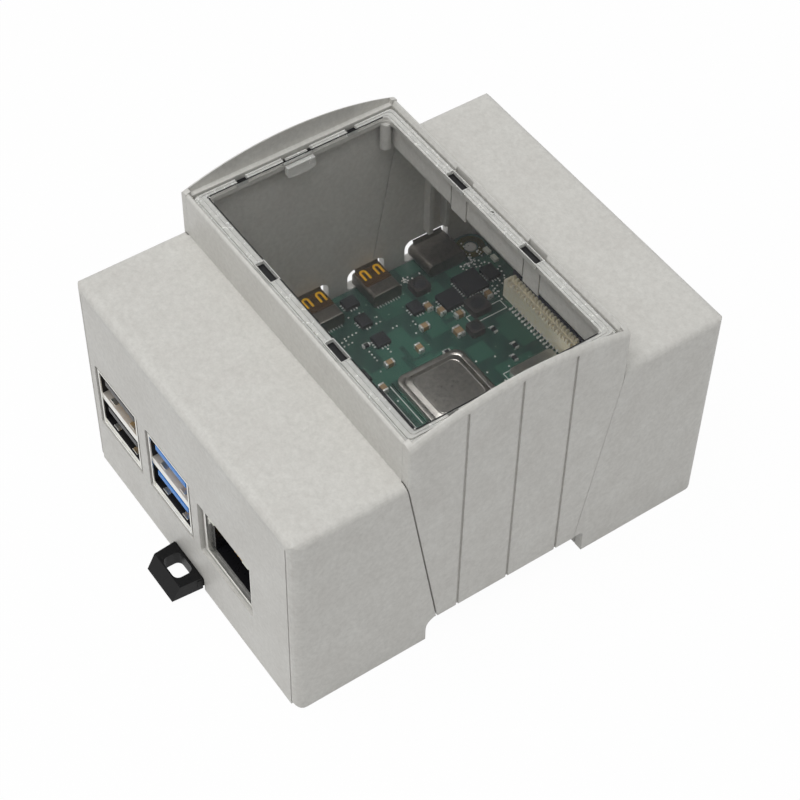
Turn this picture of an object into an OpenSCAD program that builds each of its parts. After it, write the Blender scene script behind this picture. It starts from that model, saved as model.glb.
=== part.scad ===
// DIN rail enclosure, four modules wide, with a single-board computer inside.
// The origin is the centre of the rail seat. +X runs along the rail, +Y runs
// across it from the socket end to the card end, and +Z points away from it.

/* [Enclosure] */
// Width along the rail
enclosure_w = 71; // [70:0.5:90]
// Length across the rail
enclosure_l = 90; // [90:0.5:110]
// Height of the shoulders above the feet
shoulder_h = 48; // [42:0.5:60]
// Height of the raised front above the shoulders
front_rise = 9.8; // [7:0.1:16]
// Length of the raised front across the rail
front_l = 45; // [42:0.5:56]
// Rise of the arched side walls at mid-length
arch_rise = 3.8; // [2:0.1:6]
// Wall thickness of the mouldings
wall_t = 2; // [1.8:0.1:2.4]
// Radius of the upright outer corners
corner_r = 2; // [1:0.1:3]
// Radius of the outer edges along the shoulders
edge_r = 1.6; // [0.8:0.1:1.8]
// Width of the open joint lines between mouldings
seam_gap = 0.2; // [0.1:0.05:0.3]

/* [Rail seat] */
// Width of the mounting rail
rail_w = 35; // [34:0.5:36]
// Free play between the rail and the recess, on each side
rail_play = 0.2; // [0.1:0.05:0.4]
// Depth of the recess for the rail
recess_depth = 4.4; // [4.2:0.1:6]
// Thickness of the rail flange that the hooks and the clip reach under
rail_flange_t = 1; // [0.8:0.1:1.2]
// How far the hooks and the clip reach under the rail flange
hook_reach = 1.7; // [1.2:0.1:2.2]

/* [Side plates] */
// Half length of the side plates at their lower edge
plate_foot_half = 15.3; // [14:0.1:17]
// Distance between the upright grooves
groove_pitch = 11; // [8:0.5:12]
// Width of the upright grooves
groove_w = 0.5; // [0.3:0.1:0.8]
// Depth of the upright grooves
groove_depth = 0.35; // [0.2:0.05:0.6]

/* [Window] */
// Depth of the window panel below the rim of the raised front
window_drop = 0.9; // [0.5:0.1:2]
// Thickness of the window panel
window_t = 1.6; // [1.2:0.1:2.4]
// Width of the ledge that the window panel rests on, along the end walls
ledge_w = 0.9; // [0.7:0.1:1.2]
// Width of the catch slots
catch_w = 5; // [3:0.1:6]

/* [Rail clip] */
// Width of the clip
clip_w = 9.9; // [9:0.1:12]
// Thickness of the clip blade
clip_t = 2; // [1.6:0.1:2.2]
// Length of the finger tab outside the end panel
clip_tab_l = 6.5; // [5:0.1:10]
// Running clearance round the clip
clip_play = 0.2; // [0.15:0.05:0.3]
// Travel of the clip when it is pulled
clip_travel = 3; // [2:0.1:4]

/* [Circuit board] */
// Length of the board
board_l = 85; // [84:0.5:86]
// Width of the board
board_w = 56; // [55:0.5:57]
// Thickness of the board
board_t = 1.4; // [1.2:0.1:1.8]
// Height of the board's underside above the rail seat
board_lift = 7.2; // [6.8:0.1:9]
// Distance of the mounting holes from the board's edges
board_hole_inset = 3.5; // [3.5:0.1:4]
// Distance between the mounting holes along the board
board_hole_pitch = 58; // [56:0.5:59]
// Diameter of the mounting holes
board_hole_d = 2.7; // [2.6:0.1:3]

/* [Sockets] */
// Width of the double-deck sockets
stack_w = 13.8; // [13.2:0.1:14.4]
// Height of the double-deck sockets
stack_h = 15.2; // [14.8:0.1:16]
// Depth of the double-deck sockets
stack_d = 17.5; // [16:0.5:19]
// Width of the network jack
jack_w = 16; // [15.6:0.1:16.4]
// Height of the network jack
jack_h = 12.8; // [12.4:0.1:13.6]
// Depth of the network jack
jack_d = 21; // [18:0.5:22]
// Bore of the audio jack
audio_bore_d = 3.6; // [3.5:0.05:3.7]
// Gap round each socket in its cut-out
socket_gap = 0.7; // [0.4:0.1:1.2]

/* [Hidden] */

shell_grey = "#c4c4be";
clip_black = "#1b1b1e";
board_green = "#1c4a33";
chip_black = "#26272a";
tin_grey = "#b9b9b6";
contact_gold = "#d9a441";

eps = 0.01;
half_w = enclosure_w / 2;
half_l = enclosure_l / 2;
half_front = front_l / 2;
inner_w = half_w - wall_t;
inner_l = half_l - wall_t;
foot_z = -recess_depth;
shoulder_z = foot_z + shoulder_h;
rim_z = shoulder_z + front_rise;
arch_r = (half_front * half_front + arch_rise * arch_rise) / (2 * arch_rise);
arch_centre_z = rim_z + arch_rise - arch_r;

// Steps in the arcs of the moulded edges
arc_steps = 5;
// The side plates stand this far proud of the cover's side walls
plate_proud = 0.15;
plate_foot_z = 1.3;
rim_r = 0.6;
foot_r = 1.4;
// Thickness of the arched fins, and of the end walls, beside the window
fin_t = 1;
rim_t = 1.1;

recess_half = rail_w / 2 + rail_play;
foot_floor_z = foot_z + wall_t;
hook_z = -rail_flange_t - 0.3;
hook_t = 2;
hook_w = 12;
hook_x = 20;
// Shallow relief along both edges of the rail seat, where the hooks reach
seat_half = rail_w / 2 - hook_reach - 0.1;
seat_relief = 0.3;

ledge_z = rim_z - window_drop - window_t;
step_z = ledge_z + window_t + 0.1;
window_half_x = inner_w - seam_gap;
window_half_y = half_front - rim_t - seam_gap;
opening_r = 2;
catch_side_y = 11.7;
catch_side_w = catch_w * 0.44;
catch_end_x = 10.8;

clip_x = -1.1;
clip_top_z = -rail_flange_t - 0.2;
clip_nose_y = -rail_w / 2 + hook_reach;
clip_tab_t = 3.2;
// The finger tab stands this far above the blade
clip_tab_rise = 0.5;

board_x0 = -inner_w + 0.5;
board_y1 = board_l / 2 - 0.4;
board_top = board_lift + board_t;
board_r = 3;
header_y = 52.5;

// --- helpers -----------------------------------------------------------

// Points of an arc from angle a0 to a1
function arc(cx, cy, r, a0, a1) =
    [for (i = [0:arc_steps]) let (a = a0 + (a1 - a0) * i / arc_steps)
        [cx + r * cos(a), cy + r * sin(a)]];

// Rectangle with its lower corners rounded to r_low and its upper ones to r_up
function round_rect(x0, y0, x1, y1, r_low, r_up) = concat(
    arc(x1 - r_up, y1 - r_up, r_up, 0, 90),
    arc(x0 + r_up, y1 - r_up, r_up, 90, 180),
    arc(x0 + r_low, y0 + r_low, r_low, 180, 270),
    arc(x1 - r_low, y0 + r_low, r_low, 270, 360));

// Place on the board, from its card end and its socket edge
function on_board(along, across) = [board_x0 + across, board_y1 - along, board_top];

module box(x0, x1, y0, y1, z0, z1) {
    translate([x0, y0, z0]) cube([x1 - x0, y1 - y0, z1 - z0]);
}

// Extrude an outline drawn in Y and Z along X
module along_x(x0, x1) {
    translate([x0, 0, 0]) rotate([90, 0, 90]) linear_extrude(x1 - x0) children();
}

// Extrude an outline drawn in X and Z along Y
module along_y(y0, y1) {
    translate([0, y1, 0]) rotate([90, 0, 0]) linear_extrude(y1 - y0) children();
}

module along_z(z0, z1) {
    translate([0, 0, z0]) linear_extrude(z1 - z0) children();
}

// The same thing on both sides of the enclosure
module both_sides() {
    children();
    mirror([1, 0, 0]) children();
}

// --- enclosure ---------------------------------------------------------

// Outline of one side plate, widened by a gap
function plate_outline(gap) = [
    [-plate_foot_half - gap, plate_foot_z - gap],
    [plate_foot_half + gap, plate_foot_z - gap],
    [half_front + gap, shoulder_z],
    [half_front + gap, rim_z + arch_rise + gap],
    [-half_front - gap, rim_z + arch_rise + gap],
    [-half_front - gap, shoulder_z]];

// Side plate with its arched and rounded rim, thinner above the window
module side_plate() {
    difference() {
        side_plate_solid();
        box(inner_w - eps, half_w - fin_t, -half_front + rim_t, half_front - rim_t,
            step_z, rim_z + arch_rise + eps);
    }
}

module side_plate_solid() {
    intersection() {
        along_x(inner_w, half_w) polygon(plate_outline(0));
        along_z(foot_z, rim_z + arch_rise + eps)
            polygon(round_rect(-half_w, -half_front, half_w, half_front, rim_r, rim_r));
        translate([0, 0, arch_centre_z]) rotate([0, 90, 0]) rotate_extrude($fn = 180)
            polygon(concat([[0, half_w], [0, 0]],
                [[arch_r, 0]],
                arc(arch_r - edge_r, half_w - edge_r, edge_r, 0, 90)));
    }
}

module side_grooves() {
    for (row = [-1:1]) {
        y = row * groove_pitch;
        top = arch_centre_z + sqrt(arch_r * arch_r - y * y) - edge_r;
        box(half_w - groove_depth, half_w + eps, y - groove_w / 2, y + groove_w / 2,
            plate_foot_z - eps, top);
    }
}

// Cut-outs for the side sockets: place along the board, width, base and top
side_ports = [[11.7, 10.6, -0.4, 5.2], [26.3, 8.8, -0.4, 4.7], [39.5, 8.8, -0.4, 4.7]];
power_along = 11.2;
video_along = [26, 39.5];
audio_along = 54;
audio_axis_z = 3;
audio_nose_d = 6;
port_r = 1.8;

module side_port_cuts() {
    for (port = side_ports) {
        y = board_y1 - port[0];
        along_x(-half_w - eps, -inner_w + eps)
            polygon(round_rect(y - port[1] / 2, board_top + port[2],
                y + port[1] / 2, board_top + port[3], 0.9, port_r));
    }
    translate([-half_w - eps, board_y1 - audio_along, board_top + audio_axis_z])
        rotate([0, 90, 0]) cylinder(d = audio_nose_d + 2 * socket_gap, h = wall_t + 2 * eps, $fn = 48);
}

// Floor with the rail recess, drawn in Y and Z
function floor_outline() = let (yi = recess_half, yo = recess_half + wall_t, ye = inner_l - seam_gap) [
    [-ye, foot_floor_z], [-yo, foot_floor_z], [-yo, foot_z], [-yi, foot_z], [-yi, 0],
    [yi, 0], [yi, foot_z], [yo, foot_z], [yo, foot_floor_z], [ye, foot_floor_z],
    [ye, foot_floor_z + wall_t], [yo, foot_floor_z + wall_t], [yo, wall_t], [-yo, wall_t],
    [-yo, foot_floor_z + wall_t], [-ye, foot_floor_z + wall_t]];

function board_holes() = [for (along = [0, 1], across = [0, 1])
    on_board(board_hole_inset + along * board_hole_pitch,
        across == 0 ? board_hole_inset : board_w - board_hole_inset)];

post_d = 6;
peg_d = 2.4;

// Posts under the board, each with a peg through its mounting hole
module standoffs() {
    difference() {
        for (hole = board_holes()) {
            translate([hole[0], hole[1], foot_floor_z + wall_t / 2])
                cylinder(d = post_d, h = board_lift - foot_floor_z - wall_t / 2, $fn = 48);
            translate([hole[0], hole[1], board_lift - eps])
                cylinder(d = peg_d, h = board_t, $fn = 32);
        }
        box(-inner_w, inner_w, -recess_half - wall_t / 2, recess_half + wall_t / 2,
            foot_z, wall_t / 2);
    }
}

guide_w = 1.6;
guide_lip = 1.2;
clip_slot_half = 2.4;
clip_slot_y0 = -inner_l + 4;
clip_slot_y1 = clip_nose_y - 5;
clip_stop_l = 3;
clip_half = clip_w / 2 + clip_play;

// Channel that the clip runs in, open below between two lips
module clip_channel_cut() {
    box(clip_x - clip_half, clip_x + clip_half, -half_l, -recess_half + eps,
        clip_top_z - clip_t - clip_play, clip_top_z + clip_play);
    box(clip_x - clip_half + guide_lip, clip_x + clip_half - guide_lip, -half_l,
        -recess_half + eps, foot_z - eps, clip_top_z);
}

module clip_guides() {
    difference() {
        box(clip_x - clip_half - guide_w, clip_x + clip_half + guide_w,
            -inner_l + seam_gap, -recess_half, foot_z + 0.2, foot_floor_z + wall_t + 0.6);
        clip_channel_cut();
    }
    // Stop that ends the clip's travel, in the slot between its arms
    stop_y = clip_slot_y1 - clip_travel - clip_play;
    box(clip_x - clip_slot_half + clip_play, clip_x + clip_slot_half - clip_play,
        stop_y - clip_stop_l, stop_y, clip_top_z - clip_t, clip_top_z + clip_play + eps);
}

module rail_hooks() {
    for (side = [-1, 1]) {
        x = side * hook_x;
        along_x(x - hook_w / 2, x + hook_w / 2)
            polygon([[recess_half + eps, hook_z], [recess_half - hook_reach, hook_z],
                [recess_half - hook_reach, hook_z - 0.8], [recess_half - 0.4, hook_z - hook_t],
                [recess_half + eps, hook_z - hook_t]]);
    }
}

strip_inset = 1;
strip_half = plate_foot_half - 1.2;

module base() {
    color(shell_grey) {
        difference() {
            union() {
                along_x(-inner_w + seam_gap, inner_w - seam_gap) polygon(floor_outline());
                box(-half_w + strip_inset, half_w - strip_inset, -strip_half, strip_half,
                    0, wall_t);
                both_sides() side_plate();
                standoffs();
            }
            both_sides() side_grooves();
            side_port_cuts();
            for (side = [-1, 1]) {
                y0 = side > 0 ? seat_half : -recess_half;
                box(-half_w, half_w, y0, y0 + recess_half - seat_half, -eps, seat_relief);
            }
            box(clip_x - clip_half, clip_x + clip_half, -half_l, -recess_half + eps,
                foot_z - eps, clip_top_z + clip_play);
        }
        rail_hooks();
        clip_guides();
    }
}

// Solid block of the shoulders, with rounded edges all round
module shoulder_block() {
    side = half_w - plate_proud;
    intersection() {
        along_x(-side, side)
            polygon(round_rect(-half_l, foot_z, half_l, shoulder_z, foot_r, edge_r));
        along_y(-half_l, half_l)
            polygon(concat(arc(side - edge_r, shoulder_z - edge_r, edge_r, 0, 90),
                arc(-side + edge_r, shoulder_z - edge_r, edge_r, 90, 180),
                [[-side, foot_z], [side, foot_z]]));
        along_z(foot_z, shoulder_z)
            polygon(round_rect(-side, -half_l, side, half_l, corner_r, corner_r));
    }
}

recess_corner_r = 2.5;

// Opening of the side walls over the rail, drawn in Y and Z
function recess_outline() = concat(
    [[recess_half, foot_z - 1], [recess_half, 0.5], [recess_half - 0.7, 1.2],
        [plate_foot_half, 1.2], [plate_foot_half, plate_foot_z]],
    arc(-recess_half + recess_corner_r, plate_foot_z - recess_corner_r, recess_corner_r, 90, 180),
    [[-recess_half, foot_z - 1]]);

post_inset = 1.5;
ledge_side_w = 1.4;
ledge_t = 1;
// Web left between a catch slot and the opening
slot_web = 0.35;
skirt_z = shoulder_z + 0.5;
skirt_slope = 1;
skirt_tab_w = 4.4;
skirt_tab_l = 1.1;
skirt_tab_t = 0.8;
slit_w = 0.3;
slit_d = 0.8;
pocket_skin = 0.8;
pocket_floor = 0.1;
corner_post_d = 2.2;
corner_post_l = 6.6;

// Raised end walls, the ledge frame between them and its corner posts
module front_frame() {
    outer_y = half_front;
    inner_y = half_front - wall_t;
    upper_y = half_front - rim_t;
    difference() {
        for (side = [-1, 1]) {
            mirror([0, side < 0 ? 1 : 0, 0])
                along_x(-inner_w, inner_w)
                    polygon(concat([[upper_y, step_z], [upper_y, ledge_z], [inner_y, ledge_z],
                        [inner_y, skirt_z], [outer_y, skirt_z - skirt_slope]],
                        arc(outer_y - rim_r, rim_z - rim_r, rim_r, 0, 90)));
        }
        wall_pockets();
        skirt_slits();
    }
    difference() {
        box(-inner_w, inner_w, -inner_y - eps, inner_y + eps, ledge_z - ledge_t, ledge_z);
        along_z(ledge_z - ledge_t - eps, ledge_z + eps)
            polygon(round_rect(-inner_w + ledge_side_w, -inner_y + ledge_w,
                inner_w - ledge_side_w, inner_y - ledge_w, opening_r, opening_r));
        catch_slots(ledge_z - ledge_t - eps, ledge_z + eps);
    }
    skirt_tabs();
    for (sx = [-1, 1], sy = [-1, 1]) {
        translate([sx * (inner_w - post_inset), sy * (inner_y - post_inset), ledge_z - corner_post_l])
            cylinder(d = corner_post_d, h = corner_post_l - ledge_t / 2, $fn = 32);
    }
}

// Small hooks along the lower edge of the end walls
module skirt_tabs() {
    inner_y = half_front - wall_t;
    for (side = [-1, 1], x = [-catch_end_x, catch_end_x]) {
        mirror([0, side < 0 ? 1 : 0, 0])
            box(x - skirt_tab_w / 2, x + skirt_tab_w / 2, inner_y, inner_y + skirt_tab_t,
                skirt_z - skirt_tab_l, skirt_z + eps);
    }
}

// Relief slits beside the hooks, in the walls' inner faces
module skirt_slits() {
    inner_y = half_front - wall_t;
    for (side = [-1, 1], x = [-catch_end_x, catch_end_x], edge = [-1, 1]) {
        at = x + edge * (skirt_tab_w / 2 + slit_w / 2);
        mirror([0, side < 0 ? 1 : 0, 0])
            box(at - slit_w / 2, at + slit_w / 2, inner_y - eps, inner_y + slit_d,
                skirt_z - skirt_slope, ledge_z - ledge_t);
    }
}

// Pockets in the end walls, beside the catches
module wall_pockets() {
    for (side = [-1, 1], x = [-catch_end_x, catch_end_x]) {
        mirror([0, side < 0 ? 1 : 0, 0])
            box(x - catch_w / 2, x + catch_w / 2, half_front - rim_t - eps,
                half_front - pocket_skin, ledge_z + pocket_floor, rim_z + eps);
    }
}

// Slots through the ledge, under the notches in the window's long edges
module catch_slots(z0, z1) {
    for (side = [-1, 1], y = [-catch_side_y, catch_side_y]) {
        mirror([side < 0 ? 1 : 0, 0, 0])
            box(inner_w - ledge_side_w + slot_web, inner_w + eps,
                y - catch_side_w / 2, y + catch_side_w / 2, z0, z1);
    }
}

guide_rib_h = 22;
guide_rib_z = 15.4;
guide_rib_d = 2;
guide_rib_y = [30, 34];

module card_guides() {
    for (y = guide_rib_y) {
        box(-inner_w - eps, -inner_w + guide_rib_d, y - 0.5, y + 0.5,
            guide_rib_z, guide_rib_z + guide_rib_h);
    }
}

panel_stop = 1.2;
skirt_lap = 0.6;

module cover() {
    color(shell_grey) {
        difference() {
            union() {
                difference() {
                    shoulder_block();
                    box(-inner_w, inner_w, -half_l - eps, half_l + eps,
                        foot_z - eps, shoulder_z - wall_t);
                    box(-inner_w - eps, inner_w + eps, -half_front + skirt_lap, half_front - skirt_lap,
                        shoulder_z - wall_t - eps, shoulder_z + eps);
                    both_sides() {
                        along_x(inner_w - eps, half_w) polygon(plate_outline(seam_gap));
                        along_x(inner_w - eps, half_w) polygon(recess_outline());
                    }
                }
                front_frame();
                card_guides();
                both_sides() {
                    for (y = [-inner_l, inner_l - panel_stop]) {
                        box(inner_w - panel_stop, inner_w + eps, y, y + panel_stop,
                            foot_floor_z + wall_t + 0.5, shoulder_z - wall_t + eps);
                    }
                }
            }
            side_port_cuts();
        }
    }
}

// Blank end panel that fits between the cover's side walls
module end_panel_blank() {
    along_y(-half_l, -inner_l)
        polygon([[-inner_w + seam_gap, foot_z], [inner_w - seam_gap, foot_z],
            [inner_w - seam_gap, shoulder_z - wall_t], [-inner_w + seam_gap, shoulder_z - wall_t]]);
}

stack_across = [9, 27];
jack_across = 45.75;
port_base = -0.5;

clip_slot_z = clip_top_z + clip_play;

module socket_end_panel() {
    color(shell_grey) difference() {
        end_panel_blank();
        for (across = stack_across) {
            x = board_x0 + across;
            along_y(-half_l - eps, -inner_l + eps)
                polygon(round_rect(x - stack_w / 2 - socket_gap, board_top + port_base,
                    x + stack_w / 2 + socket_gap, board_top + stack_h + socket_gap, 0.4, 1));
        }
        x = board_x0 + jack_across;
        along_y(-half_l - eps, -inner_l + eps)
            polygon(round_rect(x - jack_w / 2 - socket_gap, board_top + port_base,
                x + jack_w / 2 + socket_gap, board_top + jack_h + socket_gap, 0.4, 0.8));
        along_y(-half_l - eps, -inner_l + eps)
            polygon([[clip_x + clip_half, foot_z - eps], [clip_x + clip_half, clip_slot_z],
                [clip_x - clip_half, clip_slot_z], [clip_x - clip_half, foot_z - eps]]);
    }
}

module closed_end_panel() {
    color(shell_grey) mirror([0, 1, 0]) end_panel_blank();
}

// --- window ------------------------------------------------------------

catch_hole_l = 1.4;
catch_border = 0.4;
latch_w = 6.2;
latch_gap_d = 1.3;
tab_l = 2.6;
tab_t = 1;
panel_r = 0.9;
edge_step_w = 1.1;
edge_step_h = 0.35;

module window_panel() {
    ox = window_half_x;
    oy = window_half_y;
    z1 = ledge_z + window_t;
    tab_x = -inner_w + ledge_side_w + seam_gap;
    color("#dfe6e6", 0.35) {
        difference() {
            along_z(ledge_z, z1) polygon(round_rect(-ox, -oy, ox, oy, panel_r, panel_r));
            // Low step round the edge
            difference() {
                along_z(z1 - edge_step_h, z1 + eps) polygon(round_rect(-ox - 1, -oy - 1,
                    ox + 1, oy + 1, panel_r, panel_r));
                along_z(ledge_z, z1 + 2 * eps) polygon(round_rect(-ox + edge_step_w,
                    -oy + edge_step_w, ox - edge_step_w, oy - edge_step_w, opening_r, opening_r));
            }
            // Holes over the catches
            for (side = [-1, 1], x = [-catch_end_x, catch_end_x]) {
                mirror([0, side < 0 ? 1 : 0, 0])
                    box(x - catch_w / 2, x + catch_w / 2, oy - catch_border - catch_hole_l,
                        oy - catch_border, ledge_z - eps, z1 + eps);
            }
            for (side = [-1, 1], y = [-catch_side_y, catch_side_y]) {
                mirror([side < 0 ? 1 : 0, 0, 0])
                    box(inner_w - ledge_side_w + slot_web, ox + eps,
                        y - catch_side_w / 2, y + catch_side_w / 2, ledge_z - eps, z1 + eps);
            }
            // Gap for the middle latch
            box(-ox - eps, -ox + latch_gap_d, -latch_w / 2, latch_w / 2, ledge_z - eps, z1 + eps);
        }
        // Finger tab of the middle latch
        along_x(tab_x, tab_x + tab_t) polygon(round_rect(-latch_w / 2 + seam_gap,
            ledge_z - tab_l, latch_w / 2 - seam_gap, ledge_z + eps, tab_t, 0.05));
    }
}

// --- rail clip ---------------------------------------------------------

clip_tab_slope = 1.8;
clip_tab_taper = 0.5;
clip_hole_w = 5.3;
clip_hole_l = 3.8;
clip_hole_r = 1.2;
clip_hole_gap = 0.4;

module rail_clip() {
    z1 = clip_top_z;
    z0 = z1 - clip_t;
    tab_z = clip_top_z + clip_tab_rise;
    tab_root = -half_l - clip_play;
    tab_y = -half_l - clip_tab_l;
    half = clip_w / 2;
    color(clip_black) difference() {
        union() {
            box(clip_x - half, clip_x + half, tab_root - 1, clip_nose_y - 2, z0, z1);
            along_x(clip_x - half, clip_x + half)
                polygon([[clip_nose_y - 2 - eps, z0], [clip_nose_y - 1, z0],
                    [clip_nose_y, z1 - 0.8], [clip_nose_y, z1], [clip_nose_y - 2 - eps, z1]]);
            intersection() {
                along_x(clip_x - half, clip_x + half)
                    polygon([[tab_root, tab_z], [tab_y + clip_tab_slope, tab_z],
                        [tab_y, tab_z - clip_tab_t], [tab_root, tab_z - clip_tab_t]]);
                along_z(tab_z - clip_tab_t, tab_z)
                    polygon([[clip_x - half, -half_l], [clip_x - half + clip_tab_taper, tab_y],
                        [clip_x + half - clip_tab_taper, tab_y], [clip_x + half, -half_l]]);
            }
        }
        along_z(tab_z - clip_tab_t - eps, tab_z + eps)
            polygon(round_rect(clip_x - clip_hole_w / 2, tab_root - clip_hole_gap - clip_hole_l,
                clip_x + clip_hole_w / 2, tab_root - clip_hole_gap, clip_hole_r, clip_hole_r));
        // Slot between the two spring arms
        box(clip_x - clip_slot_half, clip_x + clip_slot_half, clip_slot_y0, clip_slot_y1,
            z0 - eps, z1 + eps);
    }
}

// --- circuit board -----------------------------------------------------

module circuit_board() {
    color(board_green) difference() {
        along_z(board_lift, board_top)
            polygon(round_rect(board_x0, board_y1 - board_l, board_x0 + board_w, board_y1,
                board_r, board_r));
        for (hole = board_holes()) {
            translate([hole[0], hole[1], board_lift - 1])
                cylinder(d = board_hole_d, h = board_t + 2, $fn = 32);
        }
    }
}

// A flat part on the board, from its centre, its size along and across the
// board, its height and its corner radius
module chip(along, across, size_along, size_across, height, r = 0, base = 0) {
    p = on_board(along, across);
    x = size_across / 2;
    y = size_along / 2;
    translate([p[0], p[1], p[2] + base]) {
        if (r > 0) {
            linear_extrude(height) polygon(round_rect(-x, -y, x, y, r, r));
        } else {
            translate([-x, -y, 0]) cube([size_across, size_along, height]);
        }
    }
}

processor_at = [29.6, 32.5];
substrate_h = 0.5;
memory_offset = 15.5;
radio_at = [12.5, 41];
usb_chip_at = [processor_at[0] + 27.4, 27];
network_chip_at = [58.5, 37.5];
power_chip_at = [9.7, 11.8];

module processor_substrate() {
    color(board_green) chip(processor_at[0], processor_at[1], 15.6, 15.6, substrate_h);
}

module processor_lid() {
    color(tin_grey) {
        chip(processor_at[0], processor_at[1], 15, 15, 0.8, 1.6, substrate_h);
        chip(processor_at[0], processor_at[1], 12.4, 12.4, 0.9, 1.8, substrate_h + 0.7);
    }
}

module memory_chip() {
    color(chip_black) chip(processor_at[0] + memory_offset, processor_at[1] - 0.5, 10, 14.5, 1);
}

module usb_controller_chip() {
    color(chip_black) chip(usb_chip_at[0], usb_chip_at[1], 8, 8, 0.9);
}

module network_chip() {
    color(chip_black) chip(network_chip_at[0], network_chip_at[1], 6, 6, 0.9);
}

module power_chip() {
    color(chip_black) chip(power_chip_at[0], power_chip_at[1], 5.5, 5.5, 0.9);
}

// Small packages: along, across, size along, size across, height
small_chip_list = [[22.6, 11.4, 2.6, 3, 1], [15.6, 13.4, 4.4, 4.4, 1], [4.8, 11.8, 2.8, 3.4, 1],
    [33, 14.5, 3, 3, 0.9],
    [33, 8.6, 2.4, 3.2, 0.9], [41.5, 20.5, 3, 3, 0.9], [19.8, 46.5, 2.4, 3, 1],
    [32.6, 3.2, 3, 2.6, 1]];

module small_chips() {
    color(chip_black) for (c = small_chip_list) {
        chip(c[0], c[1], c[2], c[3], c[4]);
    }
}

module radio_shield() {
    color(tin_grey) {
        chip(radio_at[0], radio_at[1], 10, 12, 1.5, 0.8);
    }
}

// --- sockets -----------------------------------------------------------

stack_front = -half_l + 0.4;
shell_t = 0.35;
deck_h = 5.6;
deck_w = stack_w - 2 * shell_t;
deck_z = [1.3, stack_h - 1 - deck_h];

// Double-deck socket shell with two open mouths
module stack_shell(across) {
    x = board_x0 + across;
    color(tin_grey) difference() {
        box(x - stack_w / 2, x + stack_w / 2, stack_front, stack_front + stack_d,
            board_top, board_top + stack_h);
        for (z = deck_z) {
            box(x - deck_w / 2, x + deck_w / 2, stack_front - eps, stack_front + stack_d - 3,
                board_top + z, board_top + z + deck_h);
        }
    }
}

tongue_t = 1.9;
tongue_w = 11;

module stack_tongues(across, tone) {
    x = board_x0 + across;
    color(tone) for (z = deck_z) {
        zt = board_top + z + deck_h - 0.7 - tongue_t;
        box(x - tongue_w / 2, x + tongue_w / 2, stack_front + 0.9, stack_front + stack_d - 3,
            zt, zt + tongue_t);
    }
}

module usb2_stack_shell() {
    stack_shell(stack_across[0]);
}

module usb2_stack_tongues() {
    stack_tongues(stack_across[0], "#17171a");
}

module usb3_stack_shell() {
    stack_shell(stack_across[1]);
}

module usb3_stack_tongues() {
    stack_tongues(stack_across[1], "#1f62b8");
}

jack_front = -half_l + 1;
jack_wall = 0.4;
plug_w = 11.8;
plug_h = 8.2;
plug_z = 1.6;
plug_depth = 13;

module network_jack_shell() {
    x = board_x0 + jack_across;
    color(tin_grey) difference() {
        box(x - jack_w / 2, x + jack_w / 2, jack_front, jack_front + jack_d,
            board_top, board_top + jack_h);
        box(x - jack_w / 2 + jack_wall, x + jack_w / 2 - jack_wall, jack_front - eps,
            jack_front + jack_d - jack_wall, board_top + jack_wall, board_top + jack_h - jack_wall);
    }
}

module network_jack_insert() {
    x = board_x0 + jack_across;
    z0 = board_top + jack_wall;
    z1 = board_top + jack_h - jack_wall;
    color("#1a1a1d") difference() {
        box(x - jack_w / 2 + jack_wall, x + jack_w / 2 - jack_wall, jack_front + 0.6,
            jack_front + jack_d - jack_wall, z0, z1);
        box(x - plug_w / 2, x + plug_w / 2, jack_front - eps, jack_front + plug_depth,
            board_top + plug_z, board_top + plug_z + plug_h);
        box(x - 3, x + 3, jack_front - eps, jack_front + plug_depth - 4,
            board_top + plug_z + plug_h - eps, board_top + plug_z + plug_h + 1.4);
    }
}

contact_pitch = 1.02;

module network_jack_contacts() {
    x = board_x0 + jack_across;
    z = board_top + plug_z;
    color(contact_gold) for (i = [-3.5:1:3.5]) {
        along_x(x + i * contact_pitch - 0.2, x + i * contact_pitch + 0.2)
            polygon([[jack_front + 3, z], [jack_front + 3.5, z],
                [jack_front + plug_depth - 1, z + 3.4], [jack_front + plug_depth - 1, z + 3.9]]);
    }
}

// Small side socket: a rounded tube with a mouth towards -X
module side_socket_shell(along, w, h, d, overhang, r, wall) {
    y = board_y1 - along;
    x0 = board_x0 - overhang;
    color(tin_grey) difference() {
        along_x(x0, x0 + d)
            polygon(round_rect(y - w / 2, board_top, y + w / 2, board_top + h, r, r));
        along_x(x0 - eps, x0 + d - 1)
            polygon(round_rect(y - w / 2 + wall, board_top + wall,
                y + w / 2 - wall, board_top + h - wall, r - wall / 2, r - wall / 2));
    }
}

power_w = 9;
power_h = 3.2;
power_d = 7.4;
power_overhang = 1.2;
power_wall = 0.3;

module power_socket_shell() {
    side_socket_shell(power_along, power_w, power_h, power_d, power_overhang, 1.4, power_wall);
}

module power_socket_tongue() {
    y = board_y1 - power_along;
    x0 = board_x0 - power_overhang + 0.6;
    color(chip_black) box(x0, board_x0 - power_overhang + power_d - 1, y - 3.3, y + 3.3,
        board_top + power_h / 2 - 0.35, board_top + power_h / 2 + 0.35);
}

video_w = 6.5;
video_h = 3.3;
video_d = 7.8;
video_overhang = 1;
video_wall = 0.3;

module video_socket_shell(along) {
    side_socket_shell(along, video_w, video_h, video_d, video_overhang, 0.7, video_wall);
}

module video_socket_tongue(along) {
    y = board_y1 - along;
    x0 = board_x0 - video_overhang + 0.6;
    color("#2a1a12") box(x0, board_x0 - video_overhang + video_d - 1, y - 2.2, y + 2.2,
        board_top + video_h / 2 - 0.3, board_top + video_h / 2 + 0.3);
}

module video_socket_a_shell() {
    video_socket_shell(video_along[0]);
}

module video_socket_a_tongue() {
    video_socket_tongue(video_along[0]);
}

module video_socket_b_shell() {
    video_socket_shell(video_along[1]);
}

module video_socket_b_tongue() {
    video_socket_tongue(video_along[1]);
}

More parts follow.
